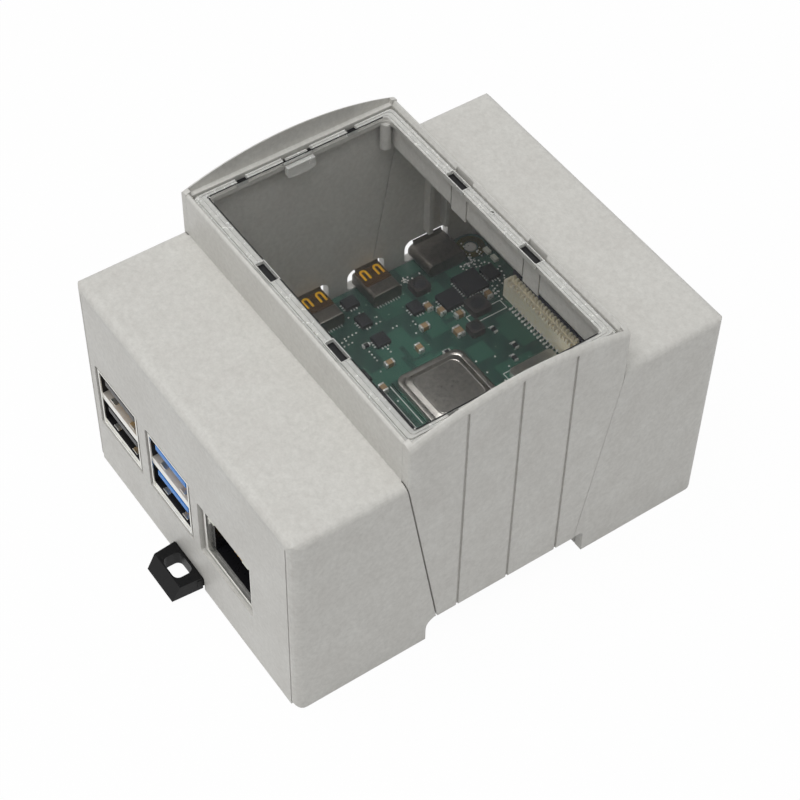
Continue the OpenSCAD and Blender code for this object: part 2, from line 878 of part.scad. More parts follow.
audio_w = 7;
audio_d = 12.5;
audio_h = 6;
audio_nose_l = 2;

module audio_jack() {
    y = board_y1 - audio_along;
    color(chip_black) difference() {
        union() {
            box(board_x0, board_x0 + audio_d, y - audio_w / 2, y + audio_w / 2,
                board_top, board_top + audio_h);
            translate([board_x0 - audio_nose_l, y, board_top + audio_axis_z])
                rotate([0, 90, 0]) cylinder(d = audio_nose_d, h = audio_nose_l + 0.5, $fn = 48);
        }
        translate([board_x0 - audio_nose_l - 1, y, board_top + audio_axis_z])
            rotate([0, 90, 0]) cylinder(d = audio_bore_d, h = audio_nose_l + 1 + audio_d - 1, $fn = 48);
    }
}

// --- ribbon connectors, headers and small parts --------------------------

ribbon_l = 22;
ribbon_w = 3.9;
ribbon_h = 5.2;

// Cream body with a slot for the ribbon
module ribbon_body(along, across) {
    p = on_board(along, across);
    color("#d8cfae") translate(p) difference() {
        box(-ribbon_l / 2, ribbon_l / 2, -ribbon_w / 2, ribbon_w / 2 - 1.2, 0, ribbon_h);
        box(-ribbon_l / 2 + 2, ribbon_l / 2 - 2, -0.4, 0.4, 1.5, ribbon_h + eps);
    }
}

module ribbon_latch(along, across) {
    p = on_board(along, across);
    color("#2b2320") translate(p) {
        box(-ribbon_l / 2, ribbon_l / 2, ribbon_w / 2 - 1.2, ribbon_w / 2, 0.8, ribbon_h + 0.3);
    }
}

ribbon_contacts_n = 15;

module ribbon_contacts(along, across) {
    p = on_board(along, across);
    color(tin_grey) translate(p) for (i = [0:ribbon_contacts_n - 1]) {
        x = (i - (ribbon_contacts_n - 1) / 2) * 1.0;
        box(x - 0.15, x + 0.15, -ribbon_w / 2 - 1, -ribbon_w / 2, 0, 0.3);
    }
}

display_at = [4.1, 28.7];
camera_at = [46.5, 11.5];

module display_connector_body() {
    ribbon_body(display_at[0], display_at[1]);
}

module display_connector_latch() {
    ribbon_latch(display_at[0], display_at[1]);
}

module display_connector_contacts() {
    ribbon_contacts(display_at[0], display_at[1]);
}

module camera_connector_body() {
    ribbon_body(camera_at[0], camera_at[1]);
}

module camera_connector_latch() {
    ribbon_latch(camera_at[0], camera_at[1]);
}

module camera_connector_contacts() {
    ribbon_contacts(camera_at[0], camera_at[1]);
}

pin_pitch = 2.54;
pin_w = 0.64;
header_base_h = 2.5;
pin_above = 6;
header_n = 20;
header_at = [32.5, header_y];
fan_n = 2;
fan_at = [61.5, 45];

module header_base(at, n) {
    chip(at[0], at[1], n * pin_pitch, 2 * pin_pitch, header_base_h);
}

module header_pins(at, n) {
    p = on_board(at[0], at[1]);
    translate(p) for (i = [0:n - 1], side = [-0.5, 0.5]) {
        translate([side * pin_pitch - pin_w / 2, (i - (n - 1) / 2) * pin_pitch - pin_w / 2,
            header_base_h]) cube([pin_w, pin_w, pin_above]);
    }
}

module pin_header_base() {
    color(chip_black) header_base(header_at, header_n);
}

module pin_header_pins() {
    color(contact_gold) header_pins(header_at, header_n);
}

module fan_header_base() {
    color(chip_black) header_base(fan_at, fan_n);
}

module fan_header_pins() {
    color(contact_gold) header_pins(fan_at, fan_n);
}

// Small parts: along, across, size along, size across
inductor_list = [[12.3, 17.9, 4.2, 4.2], [18.8, 7.3, 3.6, 3.6], [16.2, 22.6, 3, 3]];
capacitor_list = [[20.4, 12.6, 1.2, 2], [16.4, 17.6, 2, 1.2], [8.6, 16.4, 1.2, 2],
    [18.9, 14.9, 1.2, 2],
    [24, 16.5, 2, 1.2], [28, 20.5, 1.2, 2], [35, 20.5, 2, 1.2], [39.5, 25, 1.2, 2],
    [39.5, 40, 1.2, 2], [22, 41.5, 2, 1.2], [50, 42, 2, 1.2], [54, 36, 1.2, 2], [19.2, 21.2, 1.6, 2.4]];
resistor_list = [[12, 30, 0.8, 1.6], [14, 32.5, 0.8, 1.6], [24, 24, 1.6, 0.8],
    [36, 14, 1.6, 0.8], [40, 44, 0.8, 1.6], [52, 20, 0.8, 1.6], [13, 24.4, 0.8, 1.6]];
crystal_list = [[39.5, 47, 2.5, 3.2], [52, 33, 2.2, 3]];

module inductors() {
    color("#4a4744") for (c = inductor_list) {
        chip(c[0], c[1], c[2], c[3], 1.6, 0.5);
    }
}

module capacitors() {
    color("#9a8467") for (c = capacitor_list) {
        chip(c[0], c[1], c[2], c[3], 1.1);
    }
}

module resistors() {
    color("#1e1e20") for (c = resistor_list) {
        chip(c[0], c[1], c[2], c[3], 0.5);
    }
}

module crystals() {
    color(tin_grey) for (c = crystal_list) {
        chip(c[0], c[1], c[2], c[3], 0.8, 0.4);
    }
}

card_across = 28;
card_w = 12;
card_l = 11.5;
card_h = 1.3;

module card_socket() {
    x = board_x0 + card_across;
    color(tin_grey) difference() {
        box(x - card_w / 2, x + card_w / 2, board_y1 - card_l - 2, board_y1 - 2,
            board_lift - card_h, board_lift);
        box(x - card_w / 2 + 0.4, x + card_w / 2 - 0.4, board_y1 - card_l - 1, board_y1,
            board_lift - card_h + 0.3, board_lift - 0.3);
    }
}

module status_lights() {
    color("#e8e4d6") for (across = [6.5, 9]) {
        chip(1.6, across, 1, 1.6, 0.7);
    }
}

// --- assembly ----------------------------------------------------------

base();
cover();
socket_end_panel();
closed_end_panel();
window_panel();
rail_clip();
circuit_board();
processor_substrate();
processor_lid();
memory_chip();
usb_controller_chip();
network_chip();
power_chip();
small_chips();
radio_shield();
usb2_stack_shell();
usb2_stack_tongues();
usb3_stack_shell();
usb3_stack_tongues();
network_jack_shell();
network_jack_insert();
network_jack_contacts();
power_socket_shell();
power_socket_tongue();
video_socket_a_shell();
video_socket_a_tongue();
video_socket_b_shell();
video_socket_b_tongue();
audio_jack();
display_connector_body();
display_connector_latch();
display_connector_contacts();
camera_connector_body();
camera_connector_latch();
camera_connector_contacts();
pin_header_base();
pin_header_pins();
fan_header_base();
fan_header_pins();
inductors();
capacitors();
resistors();
crystals();
card_socket();
status_lights();
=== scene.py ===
"""DIN rail enclosure with a single-board computer under its clear window.

Run as a script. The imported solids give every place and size, and the operators
below give them their finishes and model the fine pieces round them.
"""

import math
import random

import bmesh
import bpy
from bpy.props import FloatProperty, FloatVectorProperty, PointerProperty
from mathutils import Matrix, Vector


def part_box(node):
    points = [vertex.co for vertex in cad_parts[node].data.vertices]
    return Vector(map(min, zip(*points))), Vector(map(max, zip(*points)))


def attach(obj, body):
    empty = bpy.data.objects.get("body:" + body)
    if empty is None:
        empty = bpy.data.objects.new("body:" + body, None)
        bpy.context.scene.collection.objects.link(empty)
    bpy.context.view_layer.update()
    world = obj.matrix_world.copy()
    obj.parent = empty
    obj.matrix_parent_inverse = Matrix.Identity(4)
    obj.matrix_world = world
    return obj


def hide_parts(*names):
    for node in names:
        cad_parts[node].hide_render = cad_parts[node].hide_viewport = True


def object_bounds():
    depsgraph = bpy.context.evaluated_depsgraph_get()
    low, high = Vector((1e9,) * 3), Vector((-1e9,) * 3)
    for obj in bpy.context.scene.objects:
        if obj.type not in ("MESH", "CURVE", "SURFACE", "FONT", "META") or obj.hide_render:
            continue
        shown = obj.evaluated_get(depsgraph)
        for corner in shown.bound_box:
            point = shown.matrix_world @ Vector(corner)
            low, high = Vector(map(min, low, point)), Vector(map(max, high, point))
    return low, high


bl_info = {
    "name": "DIN rail enclosure",
    "version": (1, 0, 0),
    "blender": (4, 5, 0),
    "location": "View3D > Sidebar > Enclosure",
    "description": "Finishes and fine pieces of a rail-mounted enclosure",
    "category": "Object",
}

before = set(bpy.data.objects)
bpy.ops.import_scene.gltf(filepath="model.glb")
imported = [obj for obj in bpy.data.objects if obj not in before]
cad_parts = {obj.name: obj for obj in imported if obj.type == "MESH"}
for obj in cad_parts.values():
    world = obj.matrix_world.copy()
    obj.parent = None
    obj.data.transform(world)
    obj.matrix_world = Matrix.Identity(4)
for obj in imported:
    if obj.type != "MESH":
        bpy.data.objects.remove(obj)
cad_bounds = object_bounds()

MM = 0.001
X, Y, Z = 0, 1, 2
# The sockets' end is the front
UP, FRONT, BACK = (0, 0, 1), (0, -1, 0), (0, 1, 0)
LEFT, RIGHT = (-1, 0, 0), (1, 0, 0)
# A face points a way when its normal's share along it is more than this
SQUARE = 0.9
# Most of a noise's values lie between these
NOISE_LOW, NOISE_HIGH = 0.3, 0.7
WHITE = (1, 1, 1, 1)


# --- colour and materials ---


def linear(code):
    """Turn an sRGB hex colour into the linear RGBA that sockets hold."""
    values = [int(code[i : i + 2], 16) / 255 for i in (1, 3, 5)]
    return tuple(
        v / 12.92 if v <= 0.04045 else ((v + 0.055) / 1.055) ** 2.4 for v in values
    ) + (1.0,)


def put(tree, node, sockets):
    """Set a node's sockets: each to a value, or linked to another socket."""
    for name, value in sockets.items():
        if isinstance(value, bpy.types.NodeSocket):
            tree.links.new(value, node.inputs[name])
        else:
            node.inputs[name].default_value = value


def add(tree, kind, sockets=None, **settings):
    """Add a node with its settings and its sockets."""
    node = tree.nodes.new(kind)
    for name, value in settings.items():
        setattr(node, name, value)
    put(tree, node, sockets or {})
    return node


def start_material(name, **sockets):
    """A new material with a Principled shader whose sockets are set."""
    material = bpy.data.materials.new(name)
    material.use_nodes = True
    tree = material.node_tree
    shader = tree.nodes["Principled BSDF"]
    put(tree, shader, {key.replace("_", " "): value for key, value in sockets.items()})
    return material, tree, shader


def object_place(tree):
    return add(tree, "ShaderNodeTexCoord").outputs["Object"]


def noise(tree, size_mm, detail, roughness=0.5):
    """Noise whose features are about size_mm across."""
    sockets = {"Vector": object_place(tree), "Scale": 1 / (size_mm * MM)}
    sockets |= {"Detail": detail, "Roughness": roughness}
    return add(tree, "ShaderNodeTexNoise", sockets).outputs["Fac"]


def ramp(tree, value, dark, light, low=NOISE_LOW, high=NOISE_HIGH):
    """Go from the first colour to the second as a value goes from low to high."""
    node = add(tree, "ShaderNodeValToRGB", {"Fac": value})
    for stop, place, colour in zip(node.color_ramp.elements, (low, high), (dark, light)):
        stop.position, stop.color = place, colour
    return node.outputs["Color"]


def spread(tree, value, low, high):
    """Map a noise's usual values onto low to high."""
    sockets = {"Value": value, "To Min": low, "To Max": high}
    sockets |= {"From Min": NOISE_LOW, "From Max": NOISE_HIGH}
    return add(tree, "ShaderNodeMapRange", sockets).outputs["Result"]


def bump(tree, height, depth_mm, strength, under=None):
    """The normal of a relief, which may lie over another normal."""
    sockets = {"Height": height, "Distance": depth_mm * MM, "Strength": strength}
    if under:
        sockets["Normal"] = under
    return add(tree, "ShaderNodeBump", sockets).outputs["Normal"]


def shade(tree, first, second, factor):
    """Mix two colours by a factor."""
    sockets = {0: factor, 6: first, 7: second}
    return add(tree, "ShaderNodeMix", sockets, data_type="RGBA").outputs[2]


def reckon(tree, operation, first, second):
    """Work out one number from two."""
    return add(tree, "ShaderNodeMath", {0: first, 1: second}, operation=operation).outputs[0]


def blend_surface(tree, factor, first, second, output="Material Output"):
    """Show a blend of two shaders as the surface."""
    sockets = {0: factor, 1: first.outputs[0], 2: second.outputs[0]}
    mix = add(tree, "ShaderNodeMixShader", sockets)
    tree.links.new(mix.outputs[0], tree.nodes[output].inputs["Surface"])


def seen_rays(tree):
    """One where a camera, mirror or see-through ray looks, so all three meet
    the same white."""
    rays = add(tree, "ShaderNodeLightPath").outputs
    total = reckon(tree, "MAXIMUM", rays["Is Camera Ray"], rays["Is Glossy Ray"])
    return reckon(tree, "MAXIMUM", total, rays["Is Transmission Ray"])


def mottled(name, tones, grain, rough=None, relief=None, span=(), **sockets):
    """A finish whose tone varies with one noise, and so do its roughness and
    its relief where they are given. The grain is the noise's size in
    millimetres, detail and roughness, and the span is where its tones lie."""
    material, tree, shader = start_material(name, **sockets)
    mark = noise(tree, *grain)
    put(tree, shader, {"Base Color": ramp(tree, mark, *map(linear, tones), *span)})
    if rough:
        put(tree, shader, {"Roughness": spread(tree, mark, *rough)})
    if relief:
        put(tree, shader, {"Normal": bump(tree, mark, *relief)})
    return material


def metal(name, tones, grain, roughness, rough=None, relief=None, metallic=1.0):
    """A metal finish with faint marks."""
    return mottled(name, tones, grain, rough, relief, Metallic=metallic, Roughness=roughness)


def moulded(name, dark, light, roughness=0.4, grain_mm=0.7):
    """A small moulding in one plastic, with a fine uneven skin."""
    return mottled(
        name, (dark, light), (grain_mm, 4, 0.6),
        (roughness + 0.06, roughness - 0.06), (0.01, 0.5),
        IOR=1.5, Roughness=roughness, Specular_IOR_Level=0.3,
    )


def moulded_abs(settings):
    """Injection-moulded ABS from a spark-eroded mould: a fine matt grain, with
    faint cloudy flow marks and rubbed spots."""
    material, tree, shader = start_material("moulded_abs_light_grey", IOR=1.53, Roughness=0.46)
    cloud = noise(tree, 7, 6, 0.68)
    fleck = spread(tree, noise(tree, 0.9, 3, 0.7), 0.0, 0.34)
    colour = ramp(tree, cloud, settings.plastic_dark, settings.plastic_pale)
    soft_edge = add(
        tree, "ShaderNodeBevel", {"Radius": settings.edge_break * MM}, samples=4
    ).outputs["Normal"]
    put(tree, shader, {
        "Base Color": shade(tree, colour, linear("#9f9d97"), fleck),
        "Roughness": spread(tree, cloud, 0.52, 0.4),
        "Normal": bump(tree, noise(tree, settings.grain, 2, 0.6), 0.02, 0.5, soft_edge),
    })
    return material


def clear_polycarbonate():
    """Polished clear polycarbonate: lets lamps through and mirrors a little."""
    material, tree, shader = start_material(
        "clear_polycarbonate", IOR=1.2, Roughness=0.03, Transmission_Weight=1.0,
        Base_Color=linear("#fbfbfb"),
    )
    rays = add(tree, "ShaderNodeLightPath").outputs
    through = reckon(tree, "MAXIMUM", rays["Is Shadow Ray"], rays["Is Diffuse Ray"])
    clear = add(tree, "ShaderNodeBsdfTransparent", {"Color": WHITE})
    blend_surface(tree, through, shader, clear)
    return material


def solder_mask(settings):
    """Glossy green solder mask over copper: traces and pours show as a lighter
    green, and vias as small pale dots."""
    pour_mm, trace_mm, via_mm = 5.5, 9, 1.9
    material, tree, shader = start_material("solder_mask_green", IOR=1.5, Roughness=0.3)
    place = object_place(tree)
    pour = add(
        tree, "ShaderNodeTexVoronoi", {"Vector": place, "Scale": 1 / (pour_mm * MM)},
        distance="CHEBYCHEV",
    )
    sockets = {"Vector": place, "Distortion": 5.0, "Detail": 0.0}
    sockets |= {key: 1 / (trace_mm * MM) for key in ("Scale", "Detail Scale")}
    wave = add(tree, "ShaderNodeTexWave", sockets, bands_direction="DIAGONAL")
    via = add(tree, "ShaderNodeTexVoronoi", {"Vector": place, "Scale": 1 / (via_mm * MM)})
    # Blocky pours, then thin traces, then round vias
    light = settings.mask_light
    colour = ramp(tree, pour.outputs["Distance"], light, settings.mask_dark, 0.36, 0.42)
    trace = reckon(tree, "GREATER_THAN", wave.outputs["Fac"], 0.93)
    colour = shade(tree, colour, light, trace)
    dot = reckon(tree, "LESS_THAN", via.outputs["Distance"], 0.085)
    put(tree, shader, {
        "Base Color": shade(tree, colour, linear("#8fa79a"), dot),
        "Normal": bump(tree, noise(tree, 0.8, 3), 0.01, 0.5),
    })
    return material


MATERIALS = {}


def make_materials(settings):
    MATERIALS.update(
        shell=moulded_abs(settings),
        clear=clear_polycarbonate(),
        # Black glass-filled nylon: a satin skin with fine fibre speckle
        nylon=mottled(
            "glass_filled_nylon_black", ("#050506", "#0b0b0c"), (0.5, 4, 0.65),
            (0.34, 0.5), (0.02, 0.6), (0.35, 0.75), IOR=1.53, Specular_IOR_Level=0.16,
        ),
        mask=solder_mask(settings),
        # Thin nickel-plated steel, stamped and folded, with faint rolling marks
        steel=metal(
            "nickel_plated_steel", ("#dcdbd6", "#eae9e4"), (1.4, 3, 0.5), 0.26, (0.28, 0.33)
        ),
        # Matt nickel plating on the copper lid, with a fine pressed grain
        lid=metal(
            "matt_nickel_lid", ("#a19e99", "#bdb9b3"), (0.9, 5, 0.65), 0.25,
            (0.27, 0.35), (0.008, 0.3),
        ),
        # Epoxy moulding compound of chips: matt, near black, slightly grainy
        epoxy=moulded("epoxy_moulding_compound", "#1c1d20", "#2b2c30", 0.5, 0.4),
        # Liquid-crystal polymer of connectors, moulded glossy
        lcp_black=moulded("black_lcp_moulding", "#0f0f11", "#1b1b1e", 0.3),
        lcp_blue=moulded("blue_lcp_moulding", "#1270c6", "#2289de", 0.35),
        lcp_brown=moulded("brown_lcp_moulding", "#38260f", "#523a1c", 0.38),
        lcp_cream=moulded("cream_lcp_moulding", "#fbf2d4", "#fffaea", 0.42),
        latch=moulded("navy_latch_moulding", "#15182b", "#20243c", 0.32),
        # Gold flash over nickel on a copper alloy spring
        gold=metal(
            "gold_plated_contact", ("#ffb400", "#ffd020"), (0.6, 3, 0.6), 0.35,
            (0.38, 0.5), metallic=0.3,
        ),
        # Reflowed tin solder: bright, uneven and slightly grey
        solder=metal(
            "reflowed_solder", ("#bdbdba", "#e9e9e6"), (0.4, 3, 0.6), 0.3,
            (0.22, 0.42), metallic=0.6,
        ),
        # Warm matt tin plating on the inside of a socket's folded sheet
        tin_plate=metal(
            "matt_tin_plate", ("#cdc6bd", "#dad4cb"), (1.6, 3, 0.5), 0.45, metallic=0.5
        ),
        # Sintered ferrite: dark grey-brown and matt
        ferrite=moulded("sintered_ferrite", "#2e2c2b", "#454240", 0.6, 0.3),
        # Fired barium titanate of chip capacitors: tan and slightly glossy
        ceramic=moulded("barium_titanate_ceramic", "#8a7458", "#a68c69", 0.4, 0.4),
        # Brushed steel with a dark nickel finish, on the folded small sockets
        dark_steel=metal("dark_nickel_steel", ("#726e68", "#827d76"), (0.8, 3, 0.5), 0.38),
        # Polycarbonate where the mould was left satin, round the clear field:
        # it scatters light and looks whitish
        flange=mottled(
            "satin_polycarbonate", ("#dededa", "#efefec"), (1.2, 4, 0.6), (0.16, 0.3),
            IOR=1.2, Roughness=0.2, Transmission_Weight=0.42,
        ),
        # Painted shade: a near black band at the edge of the clear field, for the unlit inside
        # of the panel
        rim=moulded("painted_shade_rim_band", "#161618", "#242426", 0.2),
        # Thin immersion gold dulled by flux, on the rings of the fixing holes
        dull_gold=metal(
            "dull_immersion_gold", ("#4f4d2c", "#6d6838"), (0.7, 4, 0.6), 0.6, (0.5, 0.7)
        ),
        # Painted shade: near black moulding put in the dark hollows of the sockets and the
        # window's slots
        lining=moulded("black_socket_lining", "#0b0b0c", "#141416", 0.5),
        # Printed ink of the board's marking layer: matt white
        ink=moulded("white_marking_ink", "#cfd4cf", "#e6e9e5", 0.6, 0.4),
        # Diffusing resin of the indicator lights
        lens=moulded("milky_lens_resin", "#d9dccb", "#eceee2", 0.25),
    )


# --- modelling helpers ---


def deselect():
    bpy.ops.object.select_all(action="DESELECT")


def make_active(obj):
    deselect()
    obj.select_set(True)
    bpy.context.view_layer.objects.active = obj


def block(name, low, high, *finishes):
    """A block between two corners in millimetres, the start of a piece."""
    deselect()
    low, high = Vector(low) * MM, Vector(high) * MM
    bpy.ops.mesh.primitive_cube_add(size=1, location=(low + high) / 2, scale=high - low)
    return start_piece(name, *finishes)


def disc(name, centre, radius, height, sides, *finishes):
    """An upright round piece in millimetres, the start of a piece."""
    deselect()
    bpy.ops.mesh.primitive_cylinder_add(
        vertices=sides, radius=radius * MM, depth=height * MM, location=Vector(centre) * MM
    )
    return start_piece(name, *finishes)


def start_piece(name, *finishes):
    obj = bpy.context.object
    obj.name = obj.data.name = name
    bpy.ops.object.transform_apply()
    for finish in finishes:
        obj.data.materials.append(MATERIALS[finish])
    return obj


def open_edit(obj):
    make_active(obj)
    bpy.ops.object.mode_set(mode="EDIT")


def close_edit():
    bpy.ops.object.mode_set(mode="OBJECT")


def facing(way):
    """A test for faces that point a way."""
    return lambda at, normal: normal.dot(Vector(way)) > SQUARE


def along(axis):
    """A test for faces that point both ways along an axis, or edges on it."""
    return lambda at, way: abs(way[axis]) > SQUARE


def pick(obj, test, kind="FACE"):
    """Select the faces or edges whose middle in millimetres and whose way, a
    face's normal or an edge's run, pass the test."""
    bpy.ops.mesh.select_mode(type=kind)
    bpy.ops.mesh.select_all(action="DESELECT")
    mesh = bmesh.from_edit_mesh(obj.data)
    mesh.normal_update()
    found = 0
    for part in mesh.faces if kind == "FACE" else mesh.edges:
        if kind == "FACE":
            middle, way = part.calc_center_median(), part.normal
        else:
            start, end = (v.co for v in part.verts)
            middle, way = (start + end) / 2, (end - start).normalized()
        if test(middle / MM, way):
            part.select_set(True)
            found += 1
    if not found:
        raise RuntimeError(f"nothing to select on {obj.name}")
    mesh.select_flush_mode()
    bmesh.update_edit_mesh(obj.data)


def metres(step):
    """A step in millimetres, as operators take it."""
    return tuple(c * MM for c in step)


def pull(step=(0, 0, 0)):
    """Extrude the selected faces by a step in millimetres."""
    bpy.ops.mesh.extrude_region_move(TRANSFORM_OT_translate={"value": metres(step)})


def shift(step):
    """Move the selection by a step in millimetres."""
    bpy.ops.transform.translate(value=metres(step))


def inset(width):
    bpy.ops.mesh.inset(thickness=width * MM)


def bevel(width, segments=2):
    bpy.ops.mesh.bevel(offset=width * MM, segments=segments, affect="EDGES")


def step_in(obj, width, more_y=0.0):
    """Draw a new rim in from the selected face's, by a width on every side, so
    that its corners keep their round."""
    pull()
    rim = [v.co for v in bmesh.from_edit_mesh(obj.data).verts if v.select]
    spans = [(max(c[i] for c in rim) - min(c[i] for c in rim)) / MM for i in (X, Y)]
    ratios = [1 - 2 * (width + more) / span for span, more in zip(spans, (0, more_y))]
    bpy.ops.transform.resize(value=(*ratios, 1))


def dish(obj, way, width, rise):
    """Draw the face that points a way in by a width and raise it, or sink it
    where the rise is below zero."""
    open_edit(obj)
    pick(obj, facing(way))
    inset(width)
    pull([c * rise for c in way])
    close_edit()


def draw_out(obj, way, *steps, scale=None):
    """Extrude the face that points a way, step by step, and scale its end."""
    open_edit(obj)
    pick(obj, facing(way))
    for step in steps:
        pull(step)
    if scale:
        bpy.ops.transform.resize(value=scale)
    close_edit()


def bow(obj, rises, side, axis):
    """Draw a spring out to the back through steps that bow it along an axis."""
    steps = []
    for run, rise in rises:
        step = [0, run, 0]
        step[axis] = rise * side
        steps.append(step)
    draw_out(obj, BACK, *steps)
    soften(obj, 0.05, 1, 50)


def hollow(obj, axis, width):
    """Open a piece along an axis, so that a ring of a width is left."""
    open_edit(obj)
    pick(obj, along(axis))
    inset(width)
    bpy.ops.mesh.bridge_edge_loops()
    close_edit()


def round_edges(obj, test, width, segments):
    """Round the edges that pass a test."""
    open_edit(obj)
    pick(obj, test, "EDGE")
    bevel(width, segments)
    close_edit()


def paint(obj, slot):
    """Give the selected faces the piece's material of that number."""
    obj.active_material_index = slot
    bpy.ops.object.material_slot_assign()


def apply_modifier(obj, kind, **settings):
    make_active(obj)
    modifier = obj.modifiers.new(kind.lower(), kind)
    for name, value in settings.items():
        setattr(modifier, name, value)
    bpy.ops.object.modifier_apply(modifier=modifier.name)


def cut(obj, openings):
    """Cut block-shaped openings, each given by two corners in millimetres."""
    cutter = join([block("cutter", *opening) for opening in openings], "cutters")
    apply_modifier(obj, "BOOLEAN", object=cutter, operation="DIFFERENCE", solver="MANIFOLD")
    bpy.data.objects.remove(cutter)


def soften(obj, width, segments=2, angle=40):
    """Round every edge that is sharper than an angle."""
    apply_modifier(
        obj, "BEVEL", width=width * MM, segments=segments, limit_method="ANGLE",
        angle_limit=math.radians(angle),
    )


def join(parts, name):
    """Join parts into one piece."""
    deselect()
    for part in parts:
        part.select_set(True)
    bpy.context.view_layer.objects.active = parts[0]
    if len(parts) > 1:
        bpy.ops.object.join()
    parts[0].name = parts[0].data.name = name
    return parts[0]


def copies(model, places, name):
    """Copy a model to places in millimetres, as one piece, and drop the model.
    A place holds x, y, z and, where it turns, an angle about z."""
    made = []
    for x, y, z, *turn in places:
        twin = model.copy()
        twin.data = model.data.copy()
        bpy.context.collection.objects.link(twin)
        spot = Matrix.Translation(Vector((x, y, z)) * MM)
        twin.data.transform(spot @ Matrix.Rotation(turn[0] if turn else 0, 4, "Z"))
        made.append(twin)
    bpy.data.objects.remove(model)
    return join(made, name)


def finish_piece(obj, body="enclosure", replaces=(), smooth=35):
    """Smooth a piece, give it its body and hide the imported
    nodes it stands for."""
    make_active(obj)
    bpy.ops.object.shade_smooth_by_angle(angle=math.radians(smooth))
    # Flat faces stay flat beside their rounded edges
    apply_modifier(obj, "WEIGHTED_NORMAL", keep_sharp=True, weight=100)
    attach(obj, body)
    if replaces:
        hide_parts(*replaces)


def corners(node):
    """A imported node's lowest and highest corners in millimetres."""
    low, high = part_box(node)
    return Vector(low) / MM, Vector(high) / MM


def solid_boxes(node):
    """The lowest and highest corners, in millimetres, of each separate solid
    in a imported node."""
    mesh = bmesh.new()
    mesh.from_mesh(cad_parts[node].data)
    bmesh.ops.remove_doubles(mesh, verts=mesh.verts, dist=0.001 * MM)
    left, boxes = set(mesh.verts), []
    while left:
        solid = [left.pop()]
        # The list grows while it is walked
        for vertex in solid:
            near = {edge.other_vert(vertex) for edge in vertex.link_edges} & left
            left -= near
            solid += near
        boxes.append([
            Vector([end(v.co[i] for v in solid) / MM for i in (X, Y, Z)]) for end in (min, max)
        ])
    mesh.free()
    return sorted(boxes, key=lambda pair: tuple(pair[0]))


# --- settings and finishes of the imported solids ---

# What every colour property shares
COLOUR = {"size": 4, "subtype": "COLOR", "min": 0.0, "max": 1.0}

FINISHES = {
    "shell": ("base", "cover", "socket_end_panel", "closed_end_panel"),
    "clear": ("window_panel",),
    "nylon": ("rail_clip",),
    "mask": ("circuit_board", "processor_substrate"),
    "lid": ("processor_lid",),
    "epoxy": (
        "memory_chip", "usb_controller_chip", "network_chip", "power_chip",
        "small_chips", "resistors", "pin_header_base", "fan_header_base",
    ),
    "steel": (
        "radio_shield", "usb2_stack_shell", "usb3_stack_shell",
        "network_jack_shell", "crystals", "card_socket",
    ),
    "dark_steel": ("power_socket_shell", "video_socket_a_shell", "video_socket_b_shell"),
    "lcp_black": (
        "usb2_stack_tongues", "network_jack_insert", "power_socket_tongue", "audio_jack",
    ),
    "lcp_blue": ("usb3_stack_tongues",),
    "lcp_brown": ("video_socket_a_tongue", "video_socket_b_tongue"),
    "lcp_cream": ("display_connector_body", "camera_connector_body"),
    "latch": ("display_connector_latch", "camera_connector_latch"),
    "gold": ("network_jack_contacts", "pin_header_pins", "fan_header_pins"),
    "solder": ("display_connector_contacts", "camera_connector_contacts"),
    "ferrite": ("inductors",),
    "ceramic": ("capacitors",),
    "lens": ("status_lights",),
}


class EnclosureFinish(bpy.types.PropertyGroup):
    """Colours and textures of the enclosure and the board."""

    plastic_dark: FloatVectorProperty(
        name="Plastic, darker", description="Darker tone of the grey plastic",
        default=linear("#cbc9c4"), **COLOUR,
    )
    plastic_pale: FloatVectorProperty(
        name="Plastic, paler", description="Paler tone of the grey plastic",
        default=linear("#d2d1cc"), **COLOUR,
    )
    grain: FloatProperty(
        name="Plastic grain", description="Mould grain in millimetres",
        default=0.35, min=0.1, max=1.0,
    )
    edge_break: FloatProperty(
        name="Edge break", description="Softening of the moulded edges in millimetres",
        default=0.25, min=0.0, max=1.0,
    )
    mask_dark: FloatVectorProperty(
        name="Board, bare", description="Solder mask over bare laminate",
        default=linear("#2a433c"), **COLOUR,
    )
    mask_light: FloatVectorProperty(
        name="Board, copper", description="Solder mask over copper",
        default=linear("#375e51"), **COLOUR,
    )


class PieceSizes(bpy.types.PropertyGroup):
    """Sizes of the modelled pieces, in millimetres."""

    pane_thickness: FloatProperty(
        name="Window thickness", description="Thickness of the clear panel in millimetres",
        default=1.6, min=1.0, max=2.4,
    )
    flange_width: FloatProperty(
        name="Window flange", description="Width of the satin border in millimetres",
        default=1.6, min=1.0, max=3.0,
    )
    catch_width: FloatProperty(
        name="Catch width", description="Width of the window's end catches in millimetres",
        default=5.0, min=3.0, max=6.0,
    )
    sheet: FloatProperty(
        name="Socket sheet", default=0.35, min=0.2, max=0.5,
        description="Thickness of the sockets' folded steel in millimetres",
    )
    lead_pitch: FloatProperty(
        name="Lead pitch", description="Pitch of the chips' leads in millimetres",
        default=0.65, min=0.4, max=1.27,
    )
    line_width: FloatProperty(
        name="Marking line", default=0.16, min=0.1, max=0.4,
        description="Width of the printed lines on the board in millimetres",
    )


